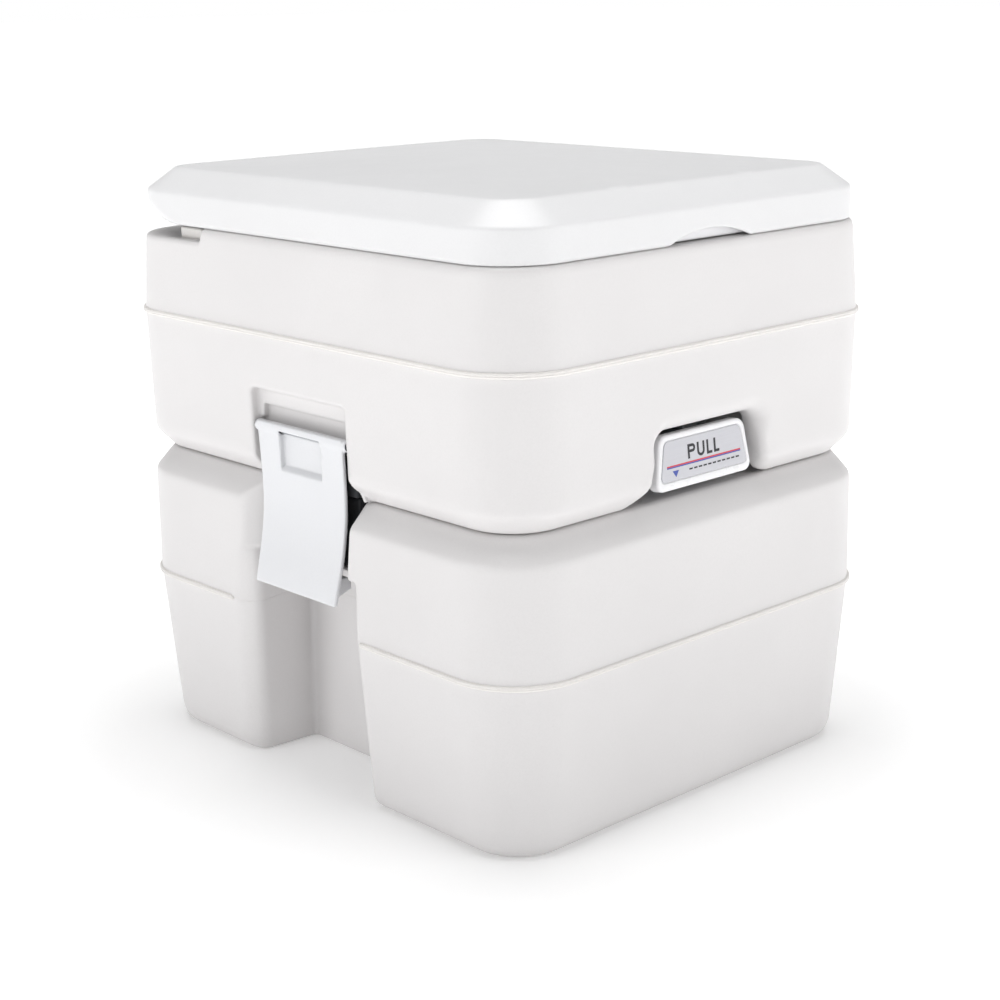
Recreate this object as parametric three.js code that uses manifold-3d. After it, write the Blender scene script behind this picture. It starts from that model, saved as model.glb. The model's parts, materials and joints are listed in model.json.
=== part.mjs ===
// Portable camp toilet: flush-water tank with bowl, seat and lid on top, waste tank with slide valve below.
// Millimetres, +Z up, front towards -Y. The origin is the centre of the footprint, on the ground.
import * as THREE from 'three';
import { mergeVertices } from 'three/addons/utils/BufferGeometryUtils.js';
import Module from 'manifold-3d';

const wasm = await Module();
wasm.setup();

// ---------------------------------------------------------------- driving dimensions
const HALF_X = 365 / 2; // half width over the weld beads
const HALF_Y = 415 / 2; // half depth over the weld beads
const WALL = 3; // moulded wall
const GAP = 0.3; // clearance between pieces that touch
const CORNER_STEPS = 4; // facets in each tank corner
const ROUND_STEPS = 20; // facets in a large round piece
const SMALL_STEPS = 12; // facets in a small round piece

// Outlines of the tanks: [height, inset from the overall size, corner radius].
const LOWER_SEAM = 120;
const LOWER_TOP = 213.2;
const BEAD = 1.8; // half height of a weld bead
const LOWER_BOTTOM_LEVELS = [
  [0, 19, 36], [3, 14.5, 41], [9, 11.5, 46], [LOWER_SEAM - BEAD, 2, 52],
  [LOWER_SEAM - BEAD + 0.2, 0, 52], [LOWER_SEAM - GAP / 2, 0, 52],
];
const LOWER_TOP_LEVELS = [
  [LOWER_SEAM + GAP / 2, 0, 52], [LOWER_SEAM + BEAD - 0.2, 0, 52], [LOWER_SEAM + BEAD, 2, 52],
  [196.4, 2.5, 52], [200, 5.5, 49], [LOWER_TOP, 17, 38],
];
const UPPER_BOTTOM = 213.8;
const UPPER_SEAM = 314.2;
const RIM_TOP = 377.4;
const UPPER_BOTTOM_LEVELS = [
  [UPPER_BOTTOM, 17, 38], [224.5, 6.5, 47], [228.5, 4, 49], [UPPER_SEAM - BEAD, 2, 52],
  [UPPER_SEAM - BEAD + 0.2, 0, 52], [UPPER_SEAM - GAP / 2, 0, 52],
];
const UPPER_TOP_LEVELS = [
  [UPPER_SEAM + GAP / 2, 0, 52], [UPPER_SEAM + BEAD - 0.2, 0, 52], [UPPER_SEAM + BEAD, 2, 52],
  [372.7, 5.8, 49], [376.2, 7.4, 48], [RIM_TOP, 11, 45],
];
const LID_BOTTOM = 378;
const LID_LEVELS = [
  [LID_BOTTOM, 8.4, 44], [399.3, 8.4, 44], [413.9, 29, 27], [415.6, 50, 22],
  [417.6, 80, 18], [419.2, 120, 12], [420, 160, 6],
];

const DECK = 368; // floor inside the raised rim of the upper tank
const RIM_INNER_X = 158;
const RIM_FRONT_Y = -186;
const RIM_REAR_Y = 105; // behind this the rim stops and the deck runs out to the rear

const BOWL_Y = -35; // centre of the bowl's mouth
const OUTLET_Y = -5; // centre of the outlet and the slide valve
const OUTLET_RADIUS = 46;
const BOWL_LEVELS = [
  [250, 46, 46, OUTLET_Y], [258, 47, 47, -7], [268, 54, 57, -13], [290, 70, 80, -23],
  [320, 88, 101, -30], [350, 100, 116, -34], [371.3, 105, 122, BOWL_Y],
];

const HINGE_Y = 181;
const HINGE_Z = 395.7;
const HINGE_PIN_RADIUS = 3;
const LID_REAR_RADIUS = HALF_Y - LID_LEVELS[0][1] - HINGE_Y; // rounding of the lid's rear edge
const HINGE_SLOTS = { seat: [92, 103.4], block: [104, 116], lid: [116.6, 128] };

const SEAT_BOTTOM = 381;
const SEAT_TOP = 395;
const SEAT_Y = -17;
const SEAT_HALF = [150, 175];
const SEAT_HOLE_HALF = [98, 116];

const PUMP_AT = [134, -158];
const FILLER_AT = [-134, -158];

const POCKET_HALF_Y = 50; // latch pocket in the side of the upper tank
const POCKET_TOP = 276;
const POCKET_FLOOR_X = 171.5;
const LATCH_HALF_Y = [45.5, 43]; // half width at the top and at the bottom
const LATCH_PIVOT = [174.5, 250]; // X and Z
const LATCH_OUTER = [
  [178.6, 254], [177.6, 235], [176.9, 215], [177, 198], [178.6, 184], [181, 170], [184.9, 155], [187.5, 143],
];
const LATCH_THICKNESS = 3.2;
const CATCH_X = 166; // face of the lower tank behind the latch
const CATCH_Z = 160; // underside of the ledge that the latch hooks under

const HAND_RECESS_X = 119; // floor of the hand recess in the side of the lower tank
const HAND_RECESS_FRONT_Y = -55;

const VALVE_HALF_X = 88;
const VALVE_Y = [-122, 82];
const VALVE_BASE_Z = [215.3, 231.5];
const BLADE_Z = [232.1, 235.1];
const VALVE_FRAME_Z = [235.7, 245];
const VALVE_ROOM_TOP = 260.5; // roof of the recess under the upper tank
const VALVE_SCREW_Y = [-110, -14, 70];
const VALVE_SCREW_X = 78;

const SHELF_Z = 150; // shelf for the spout in the rear of the lower tank
const SHELF_HALF_X = 112;
const SHELF_Y = 148;
const SPOUT_AT = [-70, 178];
const SPOUT_RADIUS = 15;
const SPOUT_BORE = 12;
const SPOUT_BEND = 18;
const SPOUT_AXIS_Z = 183;
const SPOUT_END_X = 48;
const VENT_AT = [92, 178];

// ---------------------------------------------------------------- colours
const COLOURS = {
  tank: 0xd6d4d2, lid: 0xe6e6e8, seat: 0xe8e8ea, latch: 0xdcdee2, handle: 0xf2f2f4, label: 0xcfcfd4,
  bowl: 0xe9e9ea, rubber: 0x26282b, valve: 0x9a9da1, blade: 0xbfc2c6, steel: 0xaeb1b5, cap: 0xd9d9dc,
  tube: 0xc9d2d8, bellows: 0x6d7278,
};
const FINISHES = { rubber: [0.8, 0], steel: [0.35, 0.9] };

// ---------------------------------------------------------------- geometry helpers
const radians = (degrees) => degrees * Math.PI / 180;

function signedVolume(geometry) {
  const flat = geometry.index ? geometry.toNonIndexed() : geometry;
  const position = flat.attributes.position;
  const a = new THREE.Vector3();
  const b = new THREE.Vector3();
  const c = new THREE.Vector3();
  let volume = 0;
  for (let i = 0; i < position.count; i += 3) {
    a.fromBufferAttribute(position, i);
    b.fromBufferAttribute(position, i + 1);
    c.fromBufferAttribute(position, i + 2);
    volume += a.dot(b.cross(c)) / 6;
  }
  return volume;
}

// Drops normals and texture coordinates, merges shared vertices and turns the faces outwards.
function closed(geometry) {
  const bare = geometry.clone();
  bare.deleteAttribute('normal');
  bare.deleteAttribute('uv');
  const merged = mergeVertices(bare, 1e-4);
  if (signedVolume(merged) < 0) {
    merged.setIndex(Array.from(merged.index.array).reverse());
  }
  return merged;
}

function solid(geometry) {
  const merged = closed(geometry);
  const vertProperties = new Float32Array(merged.attributes.position.array);
  const triVerts = new Uint32Array(merged.index.array);
  return new wasm.Manifold(new wasm.Mesh({ numProp: 3, vertProperties, triVerts }));
}

function geometryOf(manifold) {
  const mesh = manifold.getMesh();
  const geometry = new THREE.BufferGeometry();
  geometry.setAttribute('position', new THREE.BufferAttribute(new Float32Array(mesh.vertProperties), 3));
  geometry.setIndex(Array.from(mesh.triVerts));
  return geometry;
}

const joined = (first, ...others) => others.reduce((whole, other) => whole.add(other), first);
const cut = (first, ...others) => others.reduce((whole, other) => whole.subtract(other), first);

// A closed surface through level rings that have the same number of points, from the lowest up or down.
function loft(levels) {
  const outline = levels[0].map((point) => new THREE.Vector2(point.x, point.y));
  const clockwise = THREE.ShapeUtils.isClockWise(outline);
  const rings = clockwise ? levels.map((ring) => [...ring].reverse()) : levels;
  const count = outline.length;
  const top = (rings.length - 1) * count;
  const index = [];
  for (let k = 0; k + 1 < rings.length; k += 1) {
    for (let i = 0; i < count; i += 1) {
      const a = k * count + i;
      const b = k * count + (i + 1) % count;
      index.push(a, b, b + count, a, b + count, a + count);
    }
  }
  const base = rings[0].map((point) => new THREE.Vector2(point.x, point.y));
  for (const [a, b, c] of THREE.ShapeUtils.triangulateShape(base, [])) {
    index.push(a, c, b, top + a, top + b, top + c);
  }
  const geometry = new THREE.BufferGeometry();
  const values = rings.flat().flatMap((point) => [point.x, point.y, point.z]);
  geometry.setAttribute('position', new THREE.Float32BufferAttribute(values, 3));
  geometry.setIndex(index);
  return geometry;
}

function roundedRing(halfX, halfY, radius, z) {
  const ring = [];
  for (const [sideX, sideY, start] of [[1, 1, 0], [-1, 1, 90], [-1, -1, 180], [1, -1, 270]]) {
    for (let k = 0; k <= CORNER_STEPS; k += 1) {
      const angle = radians(start + 90 * k / CORNER_STEPS);
      const x = sideX * (halfX - radius) + radius * Math.cos(angle);
      const y = sideY * (halfY - radius) + radius * Math.sin(angle);
      ring.push(new THREE.Vector3(x, y, z));
    }
  }
  return ring;
}

function ovalRing(halfX, halfY, centreY, z) {
  const ring = [];
  for (let k = 0; k < ROUND_STEPS + 8; k += 1) {
    const angle = 2 * Math.PI * k / (ROUND_STEPS + 8);
    ring.push(new THREE.Vector3(halfX * Math.cos(angle), centreY + halfY * Math.sin(angle), z));
  }
  return ring;
}

// A rounded block through [height, inset, corner radius] levels, made smaller all round by `extra`.
function block(levels, extra = 0) {
  return solid(loft(levels.map(([z, inset, radius]) => (
    roundedRing(HALF_X - inset - extra, HALF_Y - inset - extra, Math.max(radius - extra, 3), z)
  ))));
}

function oval(levels, extra = 0) {
  return solid(loft(levels.map(([z, halfX, halfY, y]) => ovalRing(halfX + extra, halfY + extra, y, z))));
}

function box([x0, x1], [y0, y1], [z0, z1]) {
  const geometry = new THREE.BoxGeometry(Math.abs(x1 - x0), y1 - y0, z1 - z0);
  geometry.translate((x0 + x1) / 2, (y0 + y1) / 2, (z0 + z1) / 2);
  return solid(geometry);
}

const outlineOf = (points) => new THREE.Shape(points.map(([u, v]) => new THREE.Vector2(u, v)));

function extruded(shape, length) {
  return new THREE.ExtrudeGeometry(shape, { depth: length, bevelEnabled: false, curveSegments: 5 });
}

// Outline in Y and Z, extruded along X.
function alongX(shape, x0, x1) {
  const axes = new THREE.Matrix4().makeBasis(
    new THREE.Vector3(0, 1, 0), new THREE.Vector3(0, 0, 1), new THREE.Vector3(1, 0, 0),
  );
  return solid(extruded(shape, x1 - x0).applyMatrix4(axes).translate(x0, 0, 0));
}

// Outline in X and Z, extruded along Y.
function alongY(shape, y0, y1) {
  return solid(extruded(shape, y1 - y0).rotateX(Math.PI / 2).translate(0, y1, 0));
}

// Outline in X and Y, extruded along Z.
function alongZ(shape, z0, z1) {
  return solid(extruded(shape, z1 - z0).translate(0, 0, z0));
}

function cylinderZ(radius, [x, y], [z0, z1], steps = ROUND_STEPS) {
  const geometry = new THREE.CylinderGeometry(radius, radius, z1 - z0, steps);
  return solid(geometry.rotateX(Math.PI / 2).translate(x, y, (z0 + z1) / 2));
}

function cylinderX(radius, [y, z], [x0, x1], steps = SMALL_STEPS) {
  const geometry = new THREE.CylinderGeometry(radius, radius, x1 - x0, steps);
  return solid(geometry.rotateZ(Math.PI / 2).translate((x0 + x1) / 2, y, z));
}

function cylinderY(radius, [x, z], [y0, y1], steps = SMALL_STEPS) {
  return solid(new THREE.CylinderGeometry(radius, radius, y1 - y0, steps).translate(x, (y0 + y1) / 2, z));
}

// A turned piece about a vertical axis, from [radius, height] points that start and end on the axis.
function turned(points, [x, y], steps = ROUND_STEPS) {
  const profile = points.map(([radius, z]) => new THREE.Vector2(radius, z));
  return solid(new THREE.LatheGeometry(profile, steps).rotateX(Math.PI / 2).translate(x, y, 0));
}

function ringZ(inner, outer, at, [z0, z1], steps = ROUND_STEPS) {
  return turned([[inner, z0], [outer, z0], [outer, z1], [inner, z1], [inner, z0]], at, steps);
}

// A round bar or pipe along a curve.
function piped(curve, radius, bore, steps, sides) {
  const section = new THREE.Shape().absarc(0, 0, radius, 0, 2 * Math.PI);
  if (bore > 0) {
    section.holes.push(new THREE.Path().absarc(0, 0, bore, 0, 2 * Math.PI, true));
  }
  return new THREE.ExtrudeGeometry(section, { extrudePath: curve, steps, curveSegments: sides });
}

// ---------------------------------------------------------------- the object
const toilet = new THREE.Group();

function add(name, shape, colour) {
  const [roughness, metalness] = FINISHES[colour] ?? [0.5, 0];
  const material = new THREE.MeshStandardMaterial({ color: COLOURS[colour], roughness, metalness });
  const geometry = shape.isBufferGeometry ? closed(shape) : geometryOf(shape);
  const mesh = new THREE.Mesh(geometry, material);
  mesh.name = name;
  toilet.add(mesh);
  return mesh;
}

const sideName = (side) => (side < 0 ? 'left' : 'right');
const spanX = (side, near, far) => (side < 0 ? [-far, -near] : [near, far]);

// ---------------------------------------------------------------- waste tank
// Hand recess: [height, rear wall at the floor, rear corner X, rear corner Y, edge Y at the outer face].
const HAND_RECESS_LEVELS = [
  [-5, 73, 161, 77, 118], [38, 72, 165, 71, 106.7], [116, 71, 172, 61.2, 87.1], [CATCH_Z, 70, 173, 57.9, 82.4],
];

function handRecess(side, extra) {
  const outside = HALF_X + 8;
  return solid(loft(HAND_RECESS_LEVELS.map(([z, floorY, cornerX, cornerY, edgeY]) => {
    const front = HAND_RECESS_FRONT_Y - extra;
    const height = z === CATCH_Z ? z + extra : z;
    const outline = [
      [HAND_RECESS_X - extra, front], [outside, front], [outside, edgeY + extra],
      [cornerX, cornerY + extra], [HAND_RECESS_X - extra, floorY + extra],
    ];
    return outline.map(([x, y]) => new THREE.Vector3(side * x, y, height));
  })));
}

// Shallow recess behind the latch, open at the top, and the relief beside it.
function latchRecess(side, extra) {
  const behind = box(spanX(side, CATCH_X - extra, 200), [-48 - extra, 48 + extra], [CATCH_Z - 1, 230]);
  const relief = solid(loft([[CATCH_Z - 1, 49.5], [230, 46]].map(([z, rearY]) => {
    const outline = [[CATCH_X - extra, 30], [200, 30], [200, rearY + 46 + extra], [CATCH_X + 1, rearY + extra],
      [CATCH_X - extra, rearY + extra]];
    return outline.map(([x, y]) => new THREE.Vector3(side * x, y, z));
  })));
  return behind.add(relief);
}

function shelf(extra) {
  return box([-SHELF_HALF_X - extra, SHELF_HALF_X + extra], [SHELF_Y - extra, 230], [SHELF_Z - extra, 230]);
}

function recesses(extra) {
  return joined(handRecess(-1, extra), handRecess(1, extra), latchRecess(-1, extra), latchRecess(1, extra));
}

function lowerTankBottom() {
  const inside = block([[WALL, 22, 36], [9, 14.5, 43], [LOWER_SEAM - 2, 5, 49], [LOWER_SEAM + 1, 5, 49]]);
  const outer = block(LOWER_BOTTOM_LEVELS).subtract(recesses(0));
  return outer.subtract(inside.subtract(recesses(WALL)));
}

function lowerTankTop() {
  const inside = block([[LOWER_SEAM - 1, 5, 49], [195, 5.5, 49], [LOWER_TOP - WALL, 17, 38]]);
  const outer = block(LOWER_TOP_LEVELS).subtract(recesses(0)).subtract(shelf(0));
  const space = inside.subtract(recesses(WALL)).subtract(shelf(WALL));
  const inlet = cylinderZ(52, [0, OUTLET_Y], [205, 230]);
  const outlet = cylinderZ(SPOUT_RADIUS, SPOUT_AT, [140, 160], SMALL_STEPS);
  const vent = cylinderZ(5.3, VENT_AT, [140, 160], SMALL_STEPS);
  const holes = valveScrewPlaces().map((at) => cylinderZ(2.2, at, [205, 230], 8));
  return cut(outer, space, inlet, outlet, vent, ...holes);
}

function valveScrewPlaces() {
  return VALVE_SCREW_Y.flatMap((y) => [[-VALVE_SCREW_X, y], [VALVE_SCREW_X, y]]);
}

add('lower_tank_bottom_shell', lowerTankBottom(), 'tank');
add('lower_tank_top_shell', lowerTankTop(), 'tank');

// ---------------------------------------------------------------- slide valve
const outletAt = [0, OUTLET_Y];
const throat = cylinderZ(OUTLET_RADIUS, outletAt, [190, 260]);
const screwHoles = valveScrewPlaces().map((at) => cylinderZ(2.2, at, [205, 260], 8));

function valveBase() {
  const plate = box([-VALVE_HALF_X, VALVE_HALF_X], VALVE_Y, VALVE_BASE_Z);
  const spigot = cylinderZ(51, outletAt, [207, 216]);
  const rails = [-1, 1].map((side) => box(spanX(side, 64, VALVE_HALF_X), VALVE_Y, [231, 235.4]));
  const rearRail = box([-70, 70], [60, VALVE_Y[1]], [231, 235.4]);
  const groove = ringZ(47.6, 53.4, outletAt, [228.6, 231.6]);
  return cut(joined(plate, spigot, rearRail, ...rails), throat, groove, ...screwHoles);
}

function valveFrame() {
  const plate = box([-VALVE_HALF_X, VALVE_HALF_X], VALVE_Y, VALVE_FRAME_Z);
  const groove = ringZ(47.6, 53.4, outletAt, [235.6, 238.4]);
  const lipSeat = ringZ(46.6, 54.4, outletAt, [243, 246]);
  return cut(plate, throat, groove, lipSeat, ...screwHoles);
}

function valveBlade() {
  const shape = new THREE.Shape();
  shape.moveTo(-22, -187.6);
  shape.lineTo(22, -187.6);
  shape.lineTo(22, -70);
  shape.lineTo(30, -62);
  shape.lineTo(60, -62);
  shape.lineTo(60, 40);
  shape.absarc(44, 40, 16, 0, Math.PI / 2);
  shape.lineTo(-44, 56);
  shape.absarc(-44, 40, 16, Math.PI / 2, Math.PI);
  shape.lineTo(-60, -62);
  shape.lineTo(-30, -62);
  shape.lineTo(-22, -70);
  return alongZ(shape, BLADE_Z[0], BLADE_Z[1]);
}

add('valve_gasket', ringZ(56, 68, outletAt, [LOWER_TOP + GAP, VALVE_BASE_Z[0] - GAP]), 'rubber');
add('valve_base', valveBase(), 'valve');
add('blade_seal_lower', ringZ(48, 53, outletAt, [229, 231.8]), 'rubber');
add('valve_blade', valveBlade(), 'blade');
add('blade_seal_upper', ringZ(48, 53, outletAt, [235.4, 238]), 'rubber');
add('valve_frame', valveFrame(), 'valve');
add('outlet_lip_seal', ringZ(47, 54, outletAt, [243.4, 249.6]), 'rubber');

valveScrewPlaces().forEach((at, number) => {
  const [top, tip] = [248, 209];
  const profile = [[0, tip], [1.8, tip + 2], [1.8, 245.3], [4, 245.3], [4, 246.8], [2.6, top], [0, top]];
  add(`valve_screw_${number + 1}`, turned(profile, at, 10), 'steel');
});

// ---------------------------------------------------------------- pull handle of the valve
const HANDLE_Z = [221, 257];
const HANDLE_HALF_X = [48, 41.5]; // at the bottom and at the top
const HANDLE_DEPTH = 9;
const HANDLE_TILT = Math.atan2(4, HANDLE_Z[1] - HANDLE_Z[0]);

// A symmetrical plate, wider at the bottom, with round corners, centred on the handle's middle height.
function tapered(bottomHalf, topHalf, bottomZ, topZ, radius) {
  const shape = new THREE.Shape();
  const k = radius * 0.9;
  shape.moveTo(-bottomHalf + radius, bottomZ);
  shape.lineTo(bottomHalf - radius, bottomZ);
  shape.quadraticCurveTo(bottomHalf, bottomZ, bottomHalf - radius * 0.1, bottomZ + k);
  shape.lineTo(topHalf + radius * 0.1, topZ - k);
  shape.quadraticCurveTo(topHalf, topZ, topHalf - radius, topZ);
  shape.lineTo(-topHalf + radius, topZ);
  shape.quadraticCurveTo(-topHalf, topZ, -topHalf - radius * 0.1, topZ - k);
  shape.lineTo(-bottomHalf + radius * 0.1, bottomZ + k);
  shape.quadraticCurveTo(-bottomHalf, bottomZ, -bottomHalf + radius, bottomZ);
  return shape;
}

function handlePiece(name, shape, colour) {
  const mesh = add(name, shape, colour);
  mesh.position.set(0, -197, (HANDLE_Z[0] + HANDLE_Z[1]) / 2);
  mesh.rotation.x = -HANDLE_TILT;
}

function pullHandle() {
  const plate = alongY(tapered(HANDLE_HALF_X[0], HANDLE_HALF_X[1], -18, 18, 7), 0, HANDLE_DEPTH);
  const labelBed = alongY(tapered(43.6, 37.4, -12.6, 14.4, 4), -1, 1);
  const grip = alongY(tapered(36, 30, 1.5, 14, 3), 3.5, 12);
  return cut(plate, labelBed, grip);
}

handlePiece('pull_handle', pullHandle(), 'handle');
handlePiece('handle_label', alongY(tapered(43.2, 37, -12.2, 14, 4), -0.2, 0.7), 'label');

// ---------------------------------------------------------------- spout and vent on the rear shelf
function spoutElbow() {
  const [x, y] = SPOUT_AT;
  const path = new THREE.CurvePath();
  const bendStart = new THREE.Vector3(x, y, SPOUT_AXIS_Z - SPOUT_BEND);
  const corner = new THREE.Vector3(x, y, SPOUT_AXIS_Z);
  const bendEnd = new THREE.Vector3(x + SPOUT_BEND, y, SPOUT_AXIS_Z);
  path.add(new THREE.LineCurve3(new THREE.Vector3(x, y, SHELF_Z + 4), bendStart));
  path.add(new THREE.QuadraticBezierCurve3(bendStart, corner, bendEnd));
  path.add(new THREE.LineCurve3(bendEnd, new THREE.Vector3(SPOUT_END_X, y, SPOUT_AXIS_Z)));
  const pipe = solid(piped(path, SPOUT_RADIUS, SPOUT_BORE, 16, 7));
  const flange = ringZ(SPOUT_BORE + 1.2, 20, SPOUT_AT, [SHELF_Z + 3.4, SHELF_Z + 7]);
  return pipe.add(flange);
}

function spoutCap() {
  const at = [SPOUT_AT[1], SPOUT_AXIS_Z];
  const cup = cylinderX(19, at, [SPOUT_END_X - 12, SPOUT_END_X + 7], ROUND_STEPS);
  const inside = cylinderX(SPOUT_RADIUS + 0.7, at, [SPOUT_END_X - 13, SPOUT_END_X + 3.2], ROUND_STEPS);
  const bar = box([SPOUT_END_X + 6, SPOUT_END_X + 14], [at[0] - 3, at[0] + 3], [at[1] - 16, at[1] + 16]);
  return cup.subtract(inside).add(bar);
}

function spoutCollar() {
  const low = SHELF_Z + GAP;
  const profile = [[20.6, low], [26, low], [26, low + 9], [23, 162], [15.7, 162], [15.7, 157.6], [20.6, 157.6]];
  return turned([...profile, profile[0]], SPOUT_AT);
}

add('spout_o_ring', ringZ(15.4, 19.5, SPOUT_AT, [SHELF_Z + GAP, SHELF_Z + 3]), 'rubber');
add('spout_collar', spoutCollar(), 'cap');
add('spout_elbow', spoutElbow(), 'tank');
const sealX = [SPOUT_END_X + GAP, SPOUT_END_X + 2.9];
const sealAt = [SPOUT_AT[1], SPOUT_AXIS_Z];
add('spout_cap_seal', cut(cylinderX(15, sealAt, sealX), cylinderX(11.5, sealAt, [40, 60])), 'rubber');
add('spout_cap', spoutCap(), 'cap');

const ventProfile = [
  [0, 138], [4.4, 139], [4.4, 155], [8.5, 155], [8.5, 158], [6.5, 159.5], [0, 159.5],
];
add('vent_button', turned(ventProfile, VENT_AT, SMALL_STEPS), 'cap');
add('vent_seal', ringZ(4.7, 9, VENT_AT, [143.4, SHELF_Z - WALL - GAP], SMALL_STEPS), 'rubber');

class Helix extends THREE.Curve {
  constructor(radius, turns, height) {
    super();
    Object.assign(this, { radius, turns, height });
  }

  getPoint(t, target = new THREE.Vector3()) {
    const angle = 2 * Math.PI * this.turns * t;
    return target.set(this.radius * Math.cos(angle), this.radius * Math.sin(angle), this.height * t);
  }
}

const ventSpring = piped(new Helix(6.4, 2, 3.4), 0.45, 0, 24, 2);
add('vent_spring', ventSpring.translate(VENT_AT[0], VENT_AT[1], SHELF_Z + 0.8), 'steel');

// ---------------------------------------------------------------- flush-water tank
// Room for the slide valve under the tank, with the opening for its handle at the front.
function valveRoom(extra) {
  const shape = new THREE.Shape();
  const top = 265 + extra;
  const wide = 47.5 + extra;
  shape.moveTo(-81 - extra, 205);
  shape.quadraticCurveTo(-58 - extra, 216, -54.5 - extra, 229);
  shape.lineTo(-wide, top - 8);
  shape.quadraticCurveTo(-wide, top, -wide + 8, top);
  shape.lineTo(wide - 8, top);
  shape.quadraticCurveTo(wide, top, wide, top - 8);
  shape.lineTo(54.5 + extra, 229);
  shape.quadraticCurveTo(58 + extra, 216, 81 + extra, 205);
  const mouth = alongY(shape, -230, -180);
  const room = box([-98 - extra, 98 + extra], [-186 - extra, 92 + extra], [200, VALVE_ROOM_TOP + extra]);
  return mouth.add(room);
}

function latchPocket(side, extra) {
  const half = POCKET_HALF_Y + extra;
  const pocket = box(spanX(side, POCKET_FLOOR_X - extra, 200), [-half, half], [200, POCKET_TOP + extra]);
  const groove = box(spanX(side, 168 - extra, 190), [-49 - extra, 49 + extra], [243 - extra, 255.5 + extra]);
  const slot = box(spanX(side, 167 - extra, 190), [-46 - extra, 46 + extra], [254 - extra, 264 + extra]);
  return joined(pocket, groove, slot);
}

function upperTankBottom() {
  const inside = block([[UPPER_BOTTOM + WALL, 17, 38], [228.5, 7, 47], [312, 5, 49], [316, 5, 49]]);
  const outerCuts = [valveRoom(0), latchPocket(-1, 0), latchPocket(1, 0)];
  const innerCuts = [valveRoom(WALL), latchPocket(-1, WALL), latchPocket(1, WALL)];
  const bowlHole = cylinderZ(60, [0, -10], [255, 275]);
  const pinHoles = [-1, 1].map((side) => (
    cylinderY(2.8, [side * LATCH_PIVOT[0], LATCH_PIVOT[1]], [-52.2, 52.2], 12)
  ));
  const hollow = cut(inside, ...innerCuts);
  return cut(block(UPPER_BOTTOM_LEVELS), ...outerCuts, hollow, bowlHole, ...pinHoles);
}

// The space inside the raised rim, open to the rear.
function rimSpace(extra) {
  const floor = DECK - extra;
  const shape = new THREE.Shape();
  const x = RIM_INNER_X + extra;
  const y = RIM_FRONT_Y - extra;
  shape.moveTo(-x, 240);
  shape.lineTo(-x, y + 34);
  shape.absarc(-x + 34, y + 34, 34, Math.PI, 1.5 * Math.PI);
  shape.lineTo(x - 34, y);
  shape.absarc(x - 34, y + 34, 34, 1.5 * Math.PI, 2 * Math.PI);
  shape.lineTo(x, 240);
  return alongZ(shape, floor, 400).add(box([-220, 220], [RIM_REAR_Y - extra, 240], [floor, 400]));
}

function upperTankTop() {
  const inside = block([[UPPER_SEAM - 1, 5, 49], [371.5, 8.8, 46], [RIM_TOP - WALL, 11, 44]]);
  const mouth = oval([[360, 108.5, 125.5, BOWL_Y], [380, 108.5, 125.5, BOWL_Y]]);
  const neck = cylinderZ(16.5, FILLER_AT, [DECK - 2, 380]);
  const neckBore = cylinderZ(13.5, FILLER_AT, [360, 390]);
  const pumpHole = cylinderZ(13.3, PUMP_AT, [360, 376], SMALL_STEPS);
  const outer = block(UPPER_TOP_LEVELS).subtract(rimSpace(0)).add(neck);
  return cut(outer, inside.subtract(rimSpace(WALL)), mouth, neckBore, pumpHole);
}

function bowl() {
  const outer = oval(BOWL_LEVELS.map(([z, halfX, halfY, y]) => [z, halfX + 2.6, halfY + 2.6, y]));
  const flange = oval([[DECK + GAP, 119, 137, BOWL_Y], [371.3, 119, 137, BOWL_Y]]);
  const top = BOWL_LEVELS[BOWL_LEVELS.length - 1];
  const inside = oval([[249, 46, 46, OUTLET_Y], ...BOWL_LEVELS.slice(1, -1), top, [375, 105.5, 122.5, BOWL_Y]]);
  return outer.add(flange).subtract(inside).subtract(nozzleBody(6.6, 24, 60));
}

// The flush nozzle's axis runs level through the bowl's wall, towards the middle of the bowl.
const NOZZLE_START = new THREE.Vector3(100, -150, 350);
const NOZZLE_DIRECTION = new THREE.Vector3(-0.656, 0.755, 0).normalize();

function nozzleBody(radius, from, to) {
  const middle = NOZZLE_START.clone().addScaledVector(NOZZLE_DIRECTION, (from + to) / 2);
  const geometry = new THREE.CylinderGeometry(radius, radius, to - from, 12);
  const turn = new THREE.Quaternion().setFromUnitVectors(new THREE.Vector3(0, 1, 0), NOZZLE_DIRECTION);
  return solid(geometry.applyQuaternion(turn).translate(middle.x, middle.y, middle.z));
}

function flushNozzle() {
  const stem = nozzleBody(6, 26, 54);
  const head = nozzleBody(9, 52, 58);
  return cut(stem.add(head), nozzleBody(3, 20, 62));
}

function flushTube() {
  const end = NOZZLE_START.clone().addScaledVector(NOZZLE_DIRECTION, 25.6);
  const approach = NOZZLE_START.clone().addScaledVector(NOZZLE_DIRECTION, 16);
  const start = new THREE.Vector3(PUMP_AT[0] - 13.2, PUMP_AT[1] + 6, 350);
  const middle = new THREE.Vector3((start.x + approach.x) / 2, (start.y + approach.y) / 2 - 3, 347);
  return solid(piped(new THREE.CatmullRomCurve3([start, middle, approach, end]), 4.2, 2.8, 8, 4));
}

function pumpBase() {
  const flange = ringZ(10, 21.5, PUMP_AT, [DECK + GAP, 372]);
  const body = cylinderZ(12, PUMP_AT, [335, 370], SMALL_STEPS);
  const suction = cylinderZ(4.5, PUMP_AT, [225, 336], 10);
  const bore = cylinderZ(9.5, PUMP_AT, [338, 380], SMALL_STEPS);
  const suctionBore = cylinderZ(3, PUMP_AT, [220, 340], 8);
  const port = cylinderX(3, [PUMP_AT[1] + 4, 350], [PUMP_AT[0] - 14, PUMP_AT[0]], 8);
  return cut(joined(flange, body, suction), bore, suctionBore, port);
}

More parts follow.
